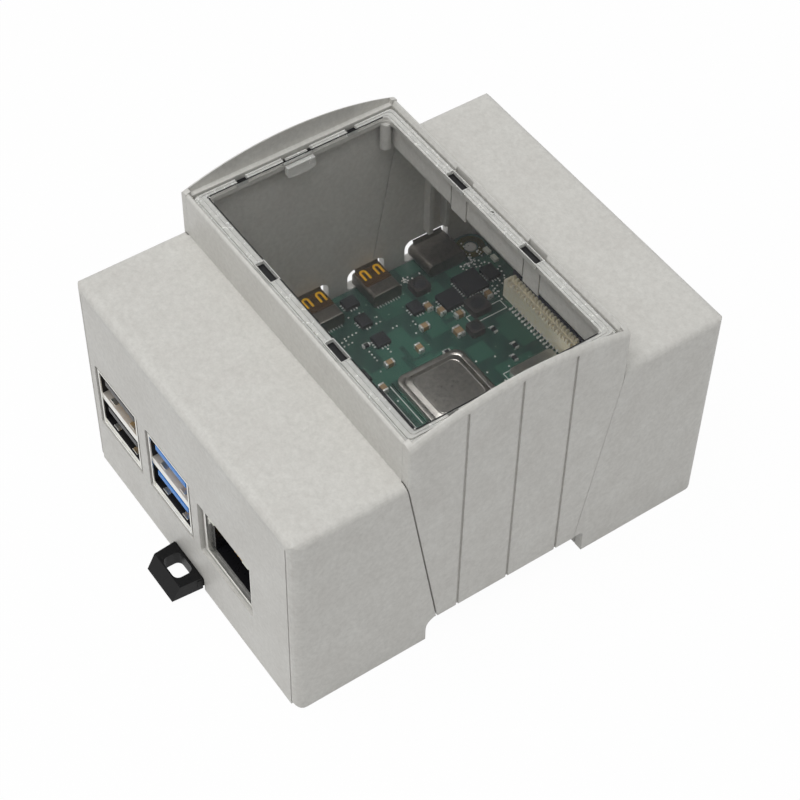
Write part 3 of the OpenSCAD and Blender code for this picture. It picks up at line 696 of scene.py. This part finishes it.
class StageSettings(bpy.types.PropertyGroup):
    """The camera's place and lens."""

    azimuth: FloatProperty(
        name="Azimuth", description="Camera's turn about the vertical",
        default=math.radians(54.288), subtype="ANGLE",
    )
    elevation: FloatProperty(
        name="Elevation", description="Camera's height angle",
        default=math.radians(50.055), subtype="ANGLE",
    )
    roll: FloatProperty(
        name="Roll", description="Camera's roll", default=math.radians(1.435), subtype="ANGLE"
    )
    distance: FloatProperty(
        name="Distance", description="Camera's distance from its target",
        default=0.3843, unit="LENGTH",
    )
    target: FloatVectorProperty(
        name="Target", description="Point the camera looks at",
        default=(0.000383, 0.00053, 0.015805), subtype="XYZ",
    )
    lens: FloatProperty(
        name="Lens", description="Focal length in millimetres on a 36 mm sensor",
        default=93.573,
    )


class ENCLOSURE_OT_finish_solids(bpy.types.Operator):
    """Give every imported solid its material"""

    bl_idname = "enclosure.finish_solids"
    bl_label = "Finish the solids"

    def execute(self, context):
        make_materials(context.scene.enclosure_finish)
        for finish, nodes in FINISHES.items():
            for node in nodes:
                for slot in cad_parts[node].material_slots:
                    slot.material = MATERIALS[finish]
        return {"FINISHED"}


def make_pane(low, high, under, flange):
    """A clear field in a border with an outer step and two fine grooves."""
    step, outer, groove, end_extra, corner = 0.35, 0.3, 0.15, 0.65, 0.9
    pane = block(
        "window_pane", (low.x, low.y, under), (high.x, high.y, high.z - step),
        "clear", "flange", "rim",
    )
    open_edit(pane)
    pick(pane, along(Z), "EDGE")
    bevel(corner, 5)
    pick(pane, facing(UP))
    step_in(pane, outer)
    pull((0, 0, step))
    # The grooves' floors and lands, wider at the two ends
    bands = ((0.4, -groove), (0.15, groove), (0.4, -groove), (0.1, groove))
    for width, rise in bands:
        step_in(pane, width, end_extra / len(bands))
        pull((0, 0, rise))
    step_in(pane, flange - outer - sum(width for width, _ in bands))
    pick(pane, lambda at, way: True)
    paint(pane, 1)
    pick(pane, lambda at, way: abs(way.z) > SQUARE and at.xy.length < 5)
    paint(pane, 0)
    # Painted shade: a fine dark line at the clear field's rim, for the dark inside seen through
    # it
    rim_x, rim_y = high.x - flange, high.y - flange - end_extra
    pick(
        pane,
        lambda at, way: way.z > SQUARE and at.y < rim_y - 1
        and 0 < max(abs(at.x) - rim_x, abs(at.y) - rim_y) < 0.25,
    )
    paint(pane, 2)
    close_edit()
    return pane


def plan_openings(low, high, under, half):
    """The four end holes, and every opening: the latch's gap, those holes
    and the four side notches."""
    end_x, side_y, side_half, gap_half = 10.8, 11.7, 1.1, 3.1
    floor, roof = under - 1, high.z + 1
    holes, openings = [], [((low.x - 1, -gap_half, floor), (low.x + 1.3, gap_half, roof))]
    for side in (-1, 1):
        near, far = sorted((side * (high.y - 2.05), side * (high.y - 0.4)))
        ends = [((x - half, near, floor), (x + half, far, roof)) for x in (-end_x, end_x)]
        near, far = sorted((side * (high.x - 1.35), side * (high.x + 1)))
        holes += ends
        openings += ends + [
            ((near, y - side_half, floor), (far, y + side_half, roof))
            for y in (-side_y, side_y)
        ]
    return holes, openings


def frame_holes(holes, top):
    """Raised frames round the end holes."""
    rim = 0.2
    for low, high in holes:
        edge = block(
            "hole_frame", (low[X] - rim, low[Y] - rim, top - 0.1),
            (high[X] + rim, high[Y] + rim, top + 0.04), "flange",
        )
        hollow(edge, Z, rim - 0.01)
        yield edge


def window_latch(low, high, under):
    """The finger tab, the latch's tongue and the mark of the mould's gate."""
    tab_x, tab_drop = low.x + 1.4, 2.6
    tab = block("latch_tab", (tab_x, -3, under - tab_drop), (tab_x + 1, 3, under), "flange")
    lowest = under - tab_drop + 0.1
    round_edges(tab, lambda at, way: abs(way.x) > SQUARE and at.z < lowest, 1, 5)
    soften(tab, 0.12)
    # A bar in its gap, with a raised hook at its middle
    tongue = block(
        "latch_tongue", (low.x + 0.25, -2.3, under), (low.x + 1.05, 2.3, high.z - 0.5),
        "flange",
    )
    dish(tongue, UP, 0.2, 0.3)
    soften(tongue, 0.08)
    gate = disc("gate_mark", (-0.9, high.y - 0.9, high.z - 0.05), 0.55, 0.3, 20, "flange")
    dish(gate, UP, 0.2, -0.1)
    return tab, tongue, gate


def shade_slots(openings, under, top):
    """Painted shade: near black pads that stand in the window's holes and side notches, where
    the inside shows dark.
    """
    wall, air, latch_shade_width = cad_bounds[1][0] / MM - 2.4, 0.1, 0.6
    pads = []
    for low, high in openings:
        at_side = max(-low[X], high[X]) > wall
        level = top - (0.55 if at_side else 0.6)
        x0, x1 = max(low[X], -wall) + air, min(high[X], wall) - air
        y0, y1 = low[Y] + air, high[Y] - air
        # The latch's tongue fills the middle of its wide gap
        runs = ((y0, y1),)
        if y1 - y0 > 5.5:
            runs = ((y0, y0 + latch_shade_width), (y1 - latch_shade_width, y1))
        for start, end in runs:
            pad = block("slot_shade_pad", (x0, start, under - 0.04), (x1, end, level), "lining")
            dish(pad, UP, 0.15, -0.08)
            pads.append(pad)
    finish_piece(join(pads, "slot_shade_pads"))


class ENCLOSURE_OT_make_window(bpy.types.Operator):
    """Model the clear window with its stepped satin border, holes and latch"""

    bl_idname = "enclosure.make_window"
    bl_label = "Make the window"

    def execute(self, context):
        sizes = context.scene.enclosure_sizes
        low, high = corners("window_panel")
        # The panel rests on the ledge with a hair of air under it
        under = high.z - sizes.pane_thickness + 0.03
        pane = make_pane(low, high, under, sizes.flange_width)
        holes, openings = plan_openings(low, high, under, sizes.catch_width / 2)
        cut(pane, openings)
        open_edit(pane)
        pick(pane, lambda at, way: abs(way.z) < 0.5)
        paint(pane, 1)
        close_edit()
        # Painted shade: dark pads in the holes and notches
        shade_slots(openings, under, high.z)
        parts = [pane, *frame_holes(holes, high.z), *window_latch(low, high, under)]
        window = join(parts, "window_pane")
        finish_piece(window, "window", ("window_panel",), smooth=25)
        return {"FINISHED"}


def front_collar(name, low, high, width, depth):
    """The bright folded rim round a socket's front, standing out by a depth."""
    front = low.y
    collar = block(name, (low.x, front - depth, low.z), (high.x, front + 0.02, high.z), "steel")
    hollow(collar, Y, width)
    foremost = front - depth + 0.05
    round_edges(collar, lambda at, way: at.y < foremost and abs(way.y) < 0.1, 0.1, 2)
    return collar


def make_shell(kind, decks, sheet):
    low, high = corners(f"{kind}_shell")
    under_bar, over_bar, depth = 3.0, 0.7, 9
    mouths = [(bar[0].z - under_bar, bar[1].z + over_bar) for bar in decks]
    shell = block(f"{kind}_can", low, high, "steel", "lining", "tin_plate")
    open_edit(shell)
    planes = [((0, 0, z), UP) for z in sorted({z for mouth in mouths for z in mouth})]
    planes += [((x, 0, 0), RIGHT) for x in (low.x + sheet, high.x - sheet)]
    for point, normal in planes:
        bpy.ops.mesh.select_all(action="SELECT")
        bpy.ops.mesh.bisect(plane_co=metres(point), plane_no=normal)

    def in_mouth(at, lift=0.0):
        inside = low.x + sheet < at.x < high.x - sheet
        return inside and any(z0 < at.z + lift < z1 for z0, z1 in mouths)

    def off_rim(at, x_rim):
        inside = low.x + x_rim < at.x < high.x - x_rim
        return inside and low.z + 0.1 < at.z < high.z - 0.1

    pick(shell, lambda at, way: way.y < -SQUARE and in_mouth(at))
    pull((0, depth, 0))
    # Painted shade: the walls inside the mouths take the near black second material
    pick(shell, lambda at, way: off_rim(at, 0.01) and low.y + 0.2 < at.y < low.y + depth + 0.2)
    paint(shell, 1)
    # The upper deck's floor is bare tinned metal
    floor = max(z0 for z0, z1 in mouths)
    pick(
        shell,
        lambda at, way: way.z > SQUARE and abs(at.z - floor) < 0.05 and in_mouth(at, 0.1),
    )
    paint(shell, 2)
    # Rolled lips round the mouths catch the light
    pick(
        shell,
        lambda at, way: at.y < low.y + 0.01 and abs(way.y) < 0.1 and off_rim(at, 0.1)
        and (in_mouth(at, -0.1) != in_mouth(at, 0.1) or abs(way.z) > SQUARE),
        "EDGE",
    )
    bevel(0.12)
    close_edit()
    parts = [shell, *mouth_springs(low, high, mouths)]
    parts.append(front_collar(f"{kind}_collar", low, high, 0.42, 0.28))
    finish_piece(join(parts, f"{kind}_can"), replaces=(f"{kind}_shell",))


def mouth_springs(low, high, mouths):
    """Two bowed springs on the floor and on the roof of each mouth."""
    middle, thick = (low.x + high.x) / 2, 0.12
    for floor, roof in mouths:
        for level, rise in ((floor, 1), (roof, -1)):
            bottom, top = sorted((level, level + thick * rise))
            spring = block("mouth_spring", (-0.9, 0.35, bottom), (0.9, 1.3, top), "steel")
            bow(spring, ((1.3, 0.35), (1.2, 0.25), (1.0, -0.2)), rise, Z)
            places = [(middle + x, low.y, 0) for x in (-3.4, 3.4)]
            yield copies(spring, places, "mouth_springs")


def make_bars(kind, decks, plastic):
    parts = []
    front = corners(f"{kind}_shell")[0].y
    for low, high in decks:
        low.y = front + 0.45
        bar = block(f"{kind}_bar", low, high, plastic)
        # Sloped lead-in at the front
        dish(bar, FRONT, 0.25, 0.3)
        soften(bar, 0.12)
        strip = block(
            "contact_strip", (-0.45, low.y + 0.7, low.z - 0.06),
            (0.45, low.y + 6.5, low.z + 0.1), "gold",
        )
        draw_out(strip, FRONT, (0, -0.5, 0.12))
        middle = (low.x + high.x) / 2
        places = [(middle + x, 0, 0) for x in (-3.5, -1.0, 1.0, 3.5)]
        parts += [bar, copies(strip, places, "strips")]
    finish_piece(join(parts, f"{kind}_bars"), replaces=(f"{kind}_tongues",))


class ENCLOSURE_OT_make_usb_stacks(bpy.types.Operator):
    """Model the two double-deck sockets with their springs and contact bars"""

    bl_idname = "enclosure.make_usb_stacks"
    bl_label = "Make the double-deck sockets"

    def execute(self, context):
        for kind, plastic, slot in (
            ("usb2_stack", "lcp_black", "black_insert"),
            ("usb3_stack", "lcp_blue", "blue_insert"),
        ):
            decks = solid_boxes(f"{kind}_tongues")
            make_shell(kind, decks, context.scene.enclosure_sizes.sheet)
            make_bars(kind, decks, plastic)
        return {"FINISHED"}


class ENCLOSURE_OT_make_network_jack(bpy.types.Operator):
    """Model the network jack's folded front with its springs and lights"""

    bl_idname = "enclosure.make_network_jack"
    bl_label = "Make the network jack's front"

    def execute(self, context):
        low, high = corners("network_jack_shell")
        front = low.y
        parts = [front_collar("network_jack_collar", low, high, 0.75, 0.35)]
        # Sprung tabs folded in at both sides
        middle, half = (low.z + high.z) / 2, 0.12
        for side, x in ((1, low.x + 0.55), (-1, high.x - 0.55)):
            tab = block(
                "jack_spring", (x - half, front - 0.3, middle + 1.2),
                (x + half, front + 0.5, middle + 3.4), "steel",
            )
            bow(tab, ((1.4, 0.8), (1.2, 0.35), (1.0, -0.4)), side, X)
            parts.append(tab)
        finish_piece(join(parts, "network_jack_collar"))
        # Two indicator windows in the mouth's upper corners
        lamp = block(
            "jack_light", (-1.1, front - 0.2, high.z - 2.4), (1.1, front + 0.55, high.z - 1.0),
            "lens",
        )
        soften(lamp, 0.25, 3)
        places = [(x, 0, 0) for x in (low.x + 2.4, high.x - 2.4)]
        finish_piece(copies(lamp, places, "network_jack_lights"))
        return {"FINISHED"}


def make_top(name, low, high):
    reach = (high.x - low.x) * 0.62
    top = block(
        f"{name}_top", (low.x + 0.25, low.y + 0.3, high.z - 0.02),
        (low.x + reach, high.y - 0.3, high.z + 0.12), "lcp_brown",
    )
    dish(top, UP, 0.25, 0.1)
    soften(top, 0.06)
    finish_piece(top)


def make_lip(name, low, high):
    """The flared lip of a socket's mouth, folded up over its front."""
    lip = block(
        f"{name}_lip", (low.x + 0.05, low.y + 0.5, high.z - 0.03),
        (low.x + 0.6, high.y - 0.5, high.z + 0.06), "dark_steel",
    )
    open_edit(lip)
    pick(lip, facing(LEFT))
    shift((0, 0, 0.95))
    close_edit()
    soften(lip, 0.04, 1)
    finish_piece(lip)


def make_rear(name, low, high):
    """A folded steel bar across the rear, with nine tails to the board."""
    rear = block(
        f"{name}_rear", (high.x - 0.38, low.y + 0.4, high.z - 0.02),
        (high.x - 0.15, high.y - 0.4, high.z + 0.08), "dark_steel",
    )
    draw_out(rear, RIGHT, (0.15, 0, -0.1))
    soften(rear, 0.06)
    pin = block("socket_pin", (-0.12, -0.1, low.z + 0.05), (0.55, 0.1, low.z + 0.3), "solder")
    soften(pin, 0.05, 1)
    middle, pitch = (low.y + high.y) / 2, 0.62
    places = [(high.x, middle + i * pitch, 0) for i in range(-4, 5)]
    pins = copies(pin, places, "socket_pins")
    finish_piece(join([rear, pins], f"{name}_rear"))


def gold_loops(name, low, high):
    """A loop of gold-plated spring: half a turn and two legs."""
    deselect()
    turn_radius, width, thick, leg = 0.58, 0.44, 0.14, 1.9
    level = high.z + 0.3
    bpy.ops.mesh.primitive_plane_add(
        size=width * MM, location=metres((0, turn_radius, level)), rotation=(0, math.pi / 2, 0)
    )
    spring = start_piece("gold_spring", "gold")
    open_edit(spring)
    pick(spring, lambda at, way: True)
    bpy.ops.transform.resize(value=(1, 1, thick / width))
    pull((leg, 0, 0))
    pick(spring, lambda at, way: at.x < 0.01 and abs(way.x) > SQUARE)
    bpy.ops.mesh.spin(steps=12, angle=-math.pi, center=metres((0, 0, level)), axis=UP)
    pull((leg, 0, 0))
    bpy.ops.mesh.select_all(action="SELECT")
    bpy.ops.mesh.remove_doubles(threshold=0.002 * MM)
    bpy.ops.mesh.normals_make_consistent()
    close_edit()
    middle = (low.y + high.y) / 2
    places = [(low.x + 1.45, middle + y, 0) for y in (-1.55, 1.55)]
    finish_piece(copies(spring, places, f"{name}_springs"))


def make_power_fold():
    low, high = corners("power_socket_shell")
    round_end = Vector((0, 0.5, 0))
    make_lip("power_socket", low + round_end, high - round_end)
    seam = block(
        "power_socket_fold", (high.x - 1.6, low.y + 1.6, high.z - 0.03),
        (high.x - 0.2, high.y - 1.6, high.z + 0.08), "dark_steel",
    )
    dish(seam, UP, 0.3, -0.05)
    soften(seam, 0.04, 1)
    spring = block(
        "power_spring", (-2.2, -0.45, high.z - 0.04), (0, 0.45, high.z + 0.03), "dark_steel"
    )
    draw_out(spring, RIGHT, (1.2, 0, 0.1))
    middle = (low.y + high.y) / 2
    places = [(low.x + 4, middle + y, 0) for y in (-2.2, 2.2)]
    springs = copies(spring, places, "power_springs")
    finish_piece(join([seam, springs], "power_socket_fold"))


class ENCLOSURE_OT_make_video_sockets(bpy.types.Operator):
    """Model the small side sockets: brown tops with looped gold springs, and
    the rounded power socket"""

    bl_idname = "enclosure.make_video_sockets"
    bl_label = "Make the side sockets"

    def execute(self, context):
        for name in ("video_socket_a", "video_socket_b"):
            low, high = corners(f"{name}_shell")
            make_top(name, low, high)
            make_lip(name, low, high)
            make_rear(name, low, high)
            gold_loops(name, low, high)
        make_power_fold()
        return {"FINISHED"}


def make_body(name):
    low, high = corners(f"{name}_body")
    high.y -= 0.45
    deck, wall, pitch, half = high.z - 0.9, 0.65, 1.0, 0.3
    middle, reach = (low.x + high.x) / 2, (high.x - low.x) / 2
    body = block(f"{name}_comb", low, (high.x, high.y, deck), "lcp_cream")
    # A trough for the ribbon between the two toothed walls
    dish(body, UP, 0.7, -0.4)
    round_edges(
        body,
        lambda at, way: abs(way.z) > SQUARE and abs(at.x - middle) > reach - 0.1,
        0.3, 3,
    )
    count = int(2 * reach / pitch)
    start = middle - (count - 1) * pitch / 2
    parts = [body]
    for y in (low.y, high.y - wall):
        tooth = block(
            "comb_tooth", (start - half, y, deck - 0.05),
            (start + half, y + wall, high.z - 0.2), "lcp_cream",
        )
        draw_out(tooth, UP, (0, 0, 0.2), scale=(0.7, 0.8, 1))
        apply_modifier(
            tooth, "ARRAY", count=count, use_relative_offset=False,
            use_constant_offset=True, constant_offset_displace=(pitch * MM, 0, 0),
        )
        parts.append(tooth)
    comb = join(parts, f"{name}_comb")
    finish_piece(comb, replaces=(f"{name}_body",))


def make_latch(name):
    low, high = corners(f"{name}_latch")
    low.y -= 0.43
    latch = block(f"{name}_bar", low, high, "latch")
    # Ears at both ends and a thumb groove along the top
    dish(latch, LEFT, 0.12, 0.02)
    dish(latch, RIGHT, 0.12, 0.02)
    dish(latch, UP, 0.3, -0.25)
    soften(latch, 0.1)
    finish_piece(latch, replaces=(f"{name}_latch",))


def make_feet(name):
    feet = solid_boxes(f"{name}_contacts")
    low, high = feet[0]
    middle, half = (low.x + high.x) / 2, 0.15
    foot = block(
        "foot", (middle - half, low.y, low.z),
        (middle + half, high.y - 0.5, low.z + 0.15), "solder",
    )
    draw_out(foot, BACK, (0, 0.25, 0.35), (0, 0.25, 0.1))
    bead = disc("bead", (middle, low.y - 0.05, low.z + 0.12), 0.27, 0.24, 8, "solder")
    draw_out(bead, UP, (0, 0, 0.1), scale=(0.5, 0.5, 1))
    places = [((a.x + b.x) / 2 - middle, 0, 0) for a, b in feet]
    row = copies(join([foot, bead], "foot"), places, f"{name}_feet")
    finish_piece(row, replaces=(f"{name}_contacts",))


class ENCLOSURE_OT_make_ribbon_connectors(bpy.types.Operator):
    """Model the two ribbon connectors: toothed cream bodies, latches and feet"""

    bl_idname = "enclosure.make_ribbon_connectors"
    bl_label = "Make the ribbon connectors"

    def execute(self, context):
        for name in ("display_connector", "camera_connector"):
            make_body(name)
            make_latch(name)
            make_feet(name)
        return {"FINISHED"}


class ENCLOSURE_OT_make_processor_lid(bpy.types.Operator):
    """Model the processor's drawn metal lid with its raised centre"""

    bl_idname = "enclosure.make_processor_lid"
    bl_label = "Make the processor's lid"

    def execute(self, context):
        low, high = corners("processor_lid")
        rise = 0.45
        lid = block("processor_cap", low, (high.x, high.y, high.z - rise), "lid")
        open_edit(lid)
        pick(lid, along(Z), "EDGE")
        bevel(2.0, 8)
        # A rolled edge, a flat margin, a coined line and the drawn centre
        pick(lid, facing(UP))
        for width, lift in (
            (0.1, 0.06), (0.14, 0.06), (0.8, 0), (0.06, -0.08), (0.06, 0.08), (0.1, 0),
            (0.75, 0.29), (0.12, 0.04), (0.2, 0), (0.05, -0.05), (0.05, 0.05),
        ):
            step_in(lid, width)
            shift((0, 0, lift))
        close_edit()
        finish_piece(lid, replaces=("processor_lid",), smooth=60)
        return {"FINISHED"}


class ENCLOSURE_OT_make_small_parts(bpy.types.Operator):
    """Model the metal ends of the small parts and the wound inductors' tops"""

    bl_idname = "enclosure.make_small_parts"
    bl_label = "Make the small parts"

    def execute(self, context):
        grow = Vector((0.025, 0.025, 0.025))
        caps = []
        for low, high in solid_boxes("capacitors") + solid_boxes("resistors"):
            size = high - low
            run = X if size.x > size.y else Y
            reach = size[run] * 0.2
            near_end, far_start = high.copy(), low.copy()
            near_end[run] = low[run] + reach
            far_start[run] = high[run] - reach
            for a, b in ((low, near_end), (far_start, high)):
                caps.append(block("end_cap", a - grow, b + grow, "solder"))
        ends = join(caps, "small_part_ends")
        soften(ends, 0.08)
        finish_piece(ends)
        tops = []
        for low, high in solid_boxes("inductors"):
            centre = (low + high) / 2
            radius = min(high.x - low.x, high.y - low.y) * 0.36
            top = disc("inductor_top", (centre.x, centre.y, high.z), radius, 0.12, 28, "epoxy")
            dish(top, UP, 0.25, -0.04)
            soften(top, 0.03, 1)
            tops.append(top)
        finish_piece(join(tops, "inductor_tops"))
        return {"FINISHED"}


class ENCLOSURE_OT_make_chip_leads(bpy.types.Operator):
    """Model the rows of tinned leads round the chips"""

    bl_idname = "enclosure.make_chip_leads"
    bl_label = "Make the chips' leads"

    def execute(self, context):
        pitch = context.scene.enclosure_sizes.lead_pitch
        board = corners("circuit_board")[1].z
        boxes = []
        for node in ("usb_controller_chip", "network_chip", "power_chip", "small_chips"):
            boxes += solid_boxes(node)
        margin, half, quarter = 0.6, 0.13, math.pi / 2
        places = []
        for low, high in boxes:
            for row, across in ((X, Y), (Y, X)):
                count = max(2, int((high[row] - low[row] - margin) / pitch))
                for i in range(count):
                    spot = (low[row] + high[row]) / 2 + (i - (count - 1) / 2) * pitch
                    for side, edge in ((-1, low[across]), (1, high[across])):
                        if row == X:
                            places.append((spot, edge, 0, side * quarter))
                        else:
                            places.append((edge, spot, 0, (1 - side) * quarter))
        lead = block("lead", (-0.05, -half, board + 0.01), (0.3, half, board + 0.14), "solder")
        draw_out(lead, RIGHT, (0.12, 0, -0.05))
        finish_piece(copies(lead, places, "chip_leads"))
        return {"FINISHED"}


class ENCLOSURE_OT_make_board_marks(bpy.types.Operator):
    """Print plain outlines and strokes on the board, and plate its hole rings"""

    bl_idname = "enclosure.make_board_marks"
    bl_label = "Make the board's markings"

    def execute(self, context):
        half, ink = context.scene.enclosure_sizes.line_width / 2, 0.02
        low, high = corners("circuit_board")
        level = high.z
        lines = []

        def stroke(x0, y0, x1, y1):
            start = (min(x0, x1) - half, min(y0, y1) - half, level - ink)
            end = (max(x0, x1) + half, max(y0, y1) + half, level + ink)
            lines.append(block("stroke", start, end, "ink"))

        def frame_round(a, b, gap):
            x0, y0, x1, y1 = a[X] - gap, a[Y] - gap, b[X] + gap, b[Y] + gap
            rounds = [(x0, y0), (x1, y0), (x1, y1), (x0, y1), (x0, y0)]
            for start, end in zip(rounds, rounds[1:]):
                stroke(*start, *end)

        for node, gap in (
            ("memory_chip", 0.5), ("usb_controller_chip", 0.9),
            ("network_chip", 0.9), ("radio_shield", 0.6),
        ):
            frame_round(*corners(node), gap)
        # The long plain box between the side sockets and the display connector
        frame_round((-14.4, 26.6), (-12.1, 34.8), 0)
        # A pair of strokes beside the processor and short dashes by small parts
        edge = corners("processor_substrate")[0]
        for y in (edge.y - 0.5, edge.y - 2.9):
            stroke(edge.x + 0.4, y, edge.x + 11, y)
        dash_gap, dash_half = 0.35, 0.5
        for a, b in solid_boxes("resistors"):
            middle = (a.y + b.y) / 2
            x = a.x - dash_gap
            stroke(x, middle - dash_half, x, middle + dash_half)
        finish_piece(join(lines, "board_strokes"))
        # Gilt rings round the four fixing holes
        radius, hole_inset, hole_x, hole_y = 3.0, 3.5, 52.5, 61.5
        rings = []
        for x in (low.x + hole_inset, low.x + hole_x):
            for y in (high.y - hole_inset, high.y - hole_y):
                ring = disc("ring", (x, y, level), radius, 0.06, 40, "dull_gold")
                hollow(ring, Z, 1.45)
                rings.append(ring)
        finish_piece(join(rings, "fixing_rings"))
        return {"FINISHED"}


class ENCLOSURE_OT_make_solder(bpy.types.Operator):
    """Dot the board with solder beads and tinned pads"""

    bl_idname = "enclosure.make_solder"
    bl_label = "Make the solder beads"

    def execute(self, context):
        low, high = corners("circuit_board")
        level = high.z
        taken = []
        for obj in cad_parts.values():
            a, b = (Vector(c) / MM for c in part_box(obj.name))
            if a.z < level + 0.5 < b.z + 2 and (b - a).xy.length < 40:
                taken.append((a, b))
        for node in ("small_chips", "capacitors", "resistors", "inductors", "crystals"):
            taken += solid_boxes(node)
        # How many beads in all, and how many before the crowded corner
        bead_count, loose_count, pitch, clearance, edge = 270, 180, 0.9, 0.6, 1
        dice = random.Random(17)
        places = []
        while len(places) < bead_count:
            x = dice.uniform(low.x + 1.5, high.x - 1.5)
            y = dice.uniform(low.y + 20, high.y - 1.5)
            if len(places) > loose_count:
                # The supply's corner is the most crowded
                x = dice.uniform(low.x + 3, low.x + 17)
                y = dice.uniform(high.y - 21, high.y - 2)
            # Beads come in short rows, as pads do
            run = dice.choice((1, 1, 2, 2, 3, 4))
            step = dice.choice(((pitch, 0), (0, pitch)))
            for i in range(run):
                px, py = x + i * step[X], y + i * step[Y]
                if any(
                    a.x - clearance < px < b.x + clearance
                    and a.y - clearance < py < b.y + clearance
                    for a, b in taken
                ):
                    continue
                if low.x + edge < px < high.x - edge and py < high.y - edge:
                    places.append((px, py, 0))
        bead = disc("bead", (0, 0, level + 0.03), 0.2, 0.06, 8, "solder")
        draw_out(bead, UP, (0, 0, 0.06), scale=(0.6, 0.6, 1))
        finish_piece(copies(bead, places, "solder_beads"))
        return {"FINISHED"}


def floor_material():
    """Matt white painted board, shown a little brighter to the camera."""
    material, tree, shader = start_material(
        "matt_white_floor", Roughness=0.9, Base_Color=linear("#e9e9e9"),
        Specular_IOR_Level=0.0,
    )
    glow = add(tree, "ShaderNodeEmission", {"Color": WHITE, "Strength": 1.0})
    blend_surface(tree, reckon(tree, "MULTIPLY", seen_rays(tree), 0.97), shader, glow)
    return material


def make_world(scene):
    world = scene.world = bpy.data.worlds.new("studio_world")
    world.use_nodes = True
    tree = world.node_tree
    soft = tree.nodes["Background"]
    put(tree, soft, {"Color": WHITE, "Strength": 0.4})
    white = add(tree, "ShaderNodeBackground", {"Color": WHITE, "Strength": 1.0})
    blend_surface(tree, seen_rays(tree), soft, white, "World Output")


def add_lamp(name, place, size, power):
    """A square lamp, placed in metres, that looks at the board."""
    data = bpy.data.lights.new(name, "AREA")
    data.size = size
    data.energy = power
    lamp = bpy.data.objects.new(name, data)
    bpy.context.collection.objects.link(lamp)
    lamp.location = place
    aim = Vector((0, 0, 0.02)) - Vector(place)
    lamp.rotation_euler = aim.to_track_quat("-Z", "Y").to_euler()


def add_camera(context):
    stage = context.scene.enclosure_stage
    data = bpy.data.cameras.new("studio_camera")
    data.lens = stage.lens
    data.clip_start = 0.01
    camera = bpy.data.objects.new("studio_camera", data)
    context.collection.objects.link(camera)
    turn = (
        Matrix.Rotation(stage.azimuth, 4, "Z")
        @ Matrix.Rotation(math.pi / 2 - stage.elevation, 4, "X")
        @ Matrix.Rotation(stage.roll, 4, "Z")
    )
    # The camera looks down its own -Z at the target
    back_off = Matrix.Translation((0, 0, stage.distance))
    camera.matrix_world = Matrix.Translation(stage.target) @ turn @ back_off
    context.scene.camera = camera


class ENCLOSURE_OT_make_stage(bpy.types.Operator):
    """Set the floor, the lamps, the world and the camera"""

    bl_idname = "enclosure.make_stage"
    bl_label = "Make the stage"

    def execute(self, context):
        deselect()
        floor_gap = 0.00002
        bpy.ops.mesh.primitive_plane_add(size=6, location=(0, 0, cad_bounds[0][Z] - floor_gap))
        floor = context.object
        floor.name = "studio_floor"
        floor.data.materials.append(floor_material())
        make_world(context.scene)
        add_lamp("low_lamp", (-0.35, -1.1, 0.22), 0.6, 0.45)
        add_lamp("top_lamp", (0.05, -0.33, 1.16), 0.9, 9.3)
        add_camera(context)
        context.scene.view_settings.view_transform = "Standard"
        return {"FINISHED"}


class ENCLOSURE_PT_panel(bpy.types.Panel):
    """Sizes, colours and steps of the enclosure"""

    bl_idname = "ENCLOSURE_PT_panel"
    bl_label = "DIN rail enclosure"
    bl_space_type = "VIEW_3D"
    bl_region_type = "UI"
    bl_category = "Enclosure"

    def draw(self, context):
        for key in GROUPS:
            group = getattr(context.scene, key)
            for name in group.__annotations__:
                self.layout.prop(group, name)
        for step in STEPS:
            self.layout.operator(step.bl_idname)


STEPS = (
    ENCLOSURE_OT_finish_solids,
    ENCLOSURE_OT_make_window,
    ENCLOSURE_OT_make_usb_stacks,
    ENCLOSURE_OT_make_network_jack,
    ENCLOSURE_OT_make_video_sockets,
    ENCLOSURE_OT_make_ribbon_connectors,
    ENCLOSURE_OT_make_processor_lid,
    ENCLOSURE_OT_make_small_parts,
    ENCLOSURE_OT_make_chip_leads,
    ENCLOSURE_OT_make_board_marks,
    ENCLOSURE_OT_make_solder,
    ENCLOSURE_OT_make_stage,
)
GROUPS = {
    "enclosure_finish": EnclosureFinish,
    "enclosure_sizes": PieceSizes,
    "enclosure_stage": StageSettings,
}
CLASSES = (*GROUPS.values(), *STEPS, ENCLOSURE_PT_panel)


def register():
    for item in CLASSES:
        bpy.utils.register_class(item)
    for key, group in GROUPS.items():
        setattr(bpy.types.Scene, key, PointerProperty(type=group))


def unregister():
    for key in GROUPS:
        delattr(bpy.types.Scene, key)
    for item in reversed(CLASSES):
        bpy.utils.unregister_class(item)


def main():
    register()
    for step in STEPS:
        group, name = step.bl_idname.split(".")
        getattr(getattr(bpy.ops, group), name)()


if __name__ == "__main__":
    main()
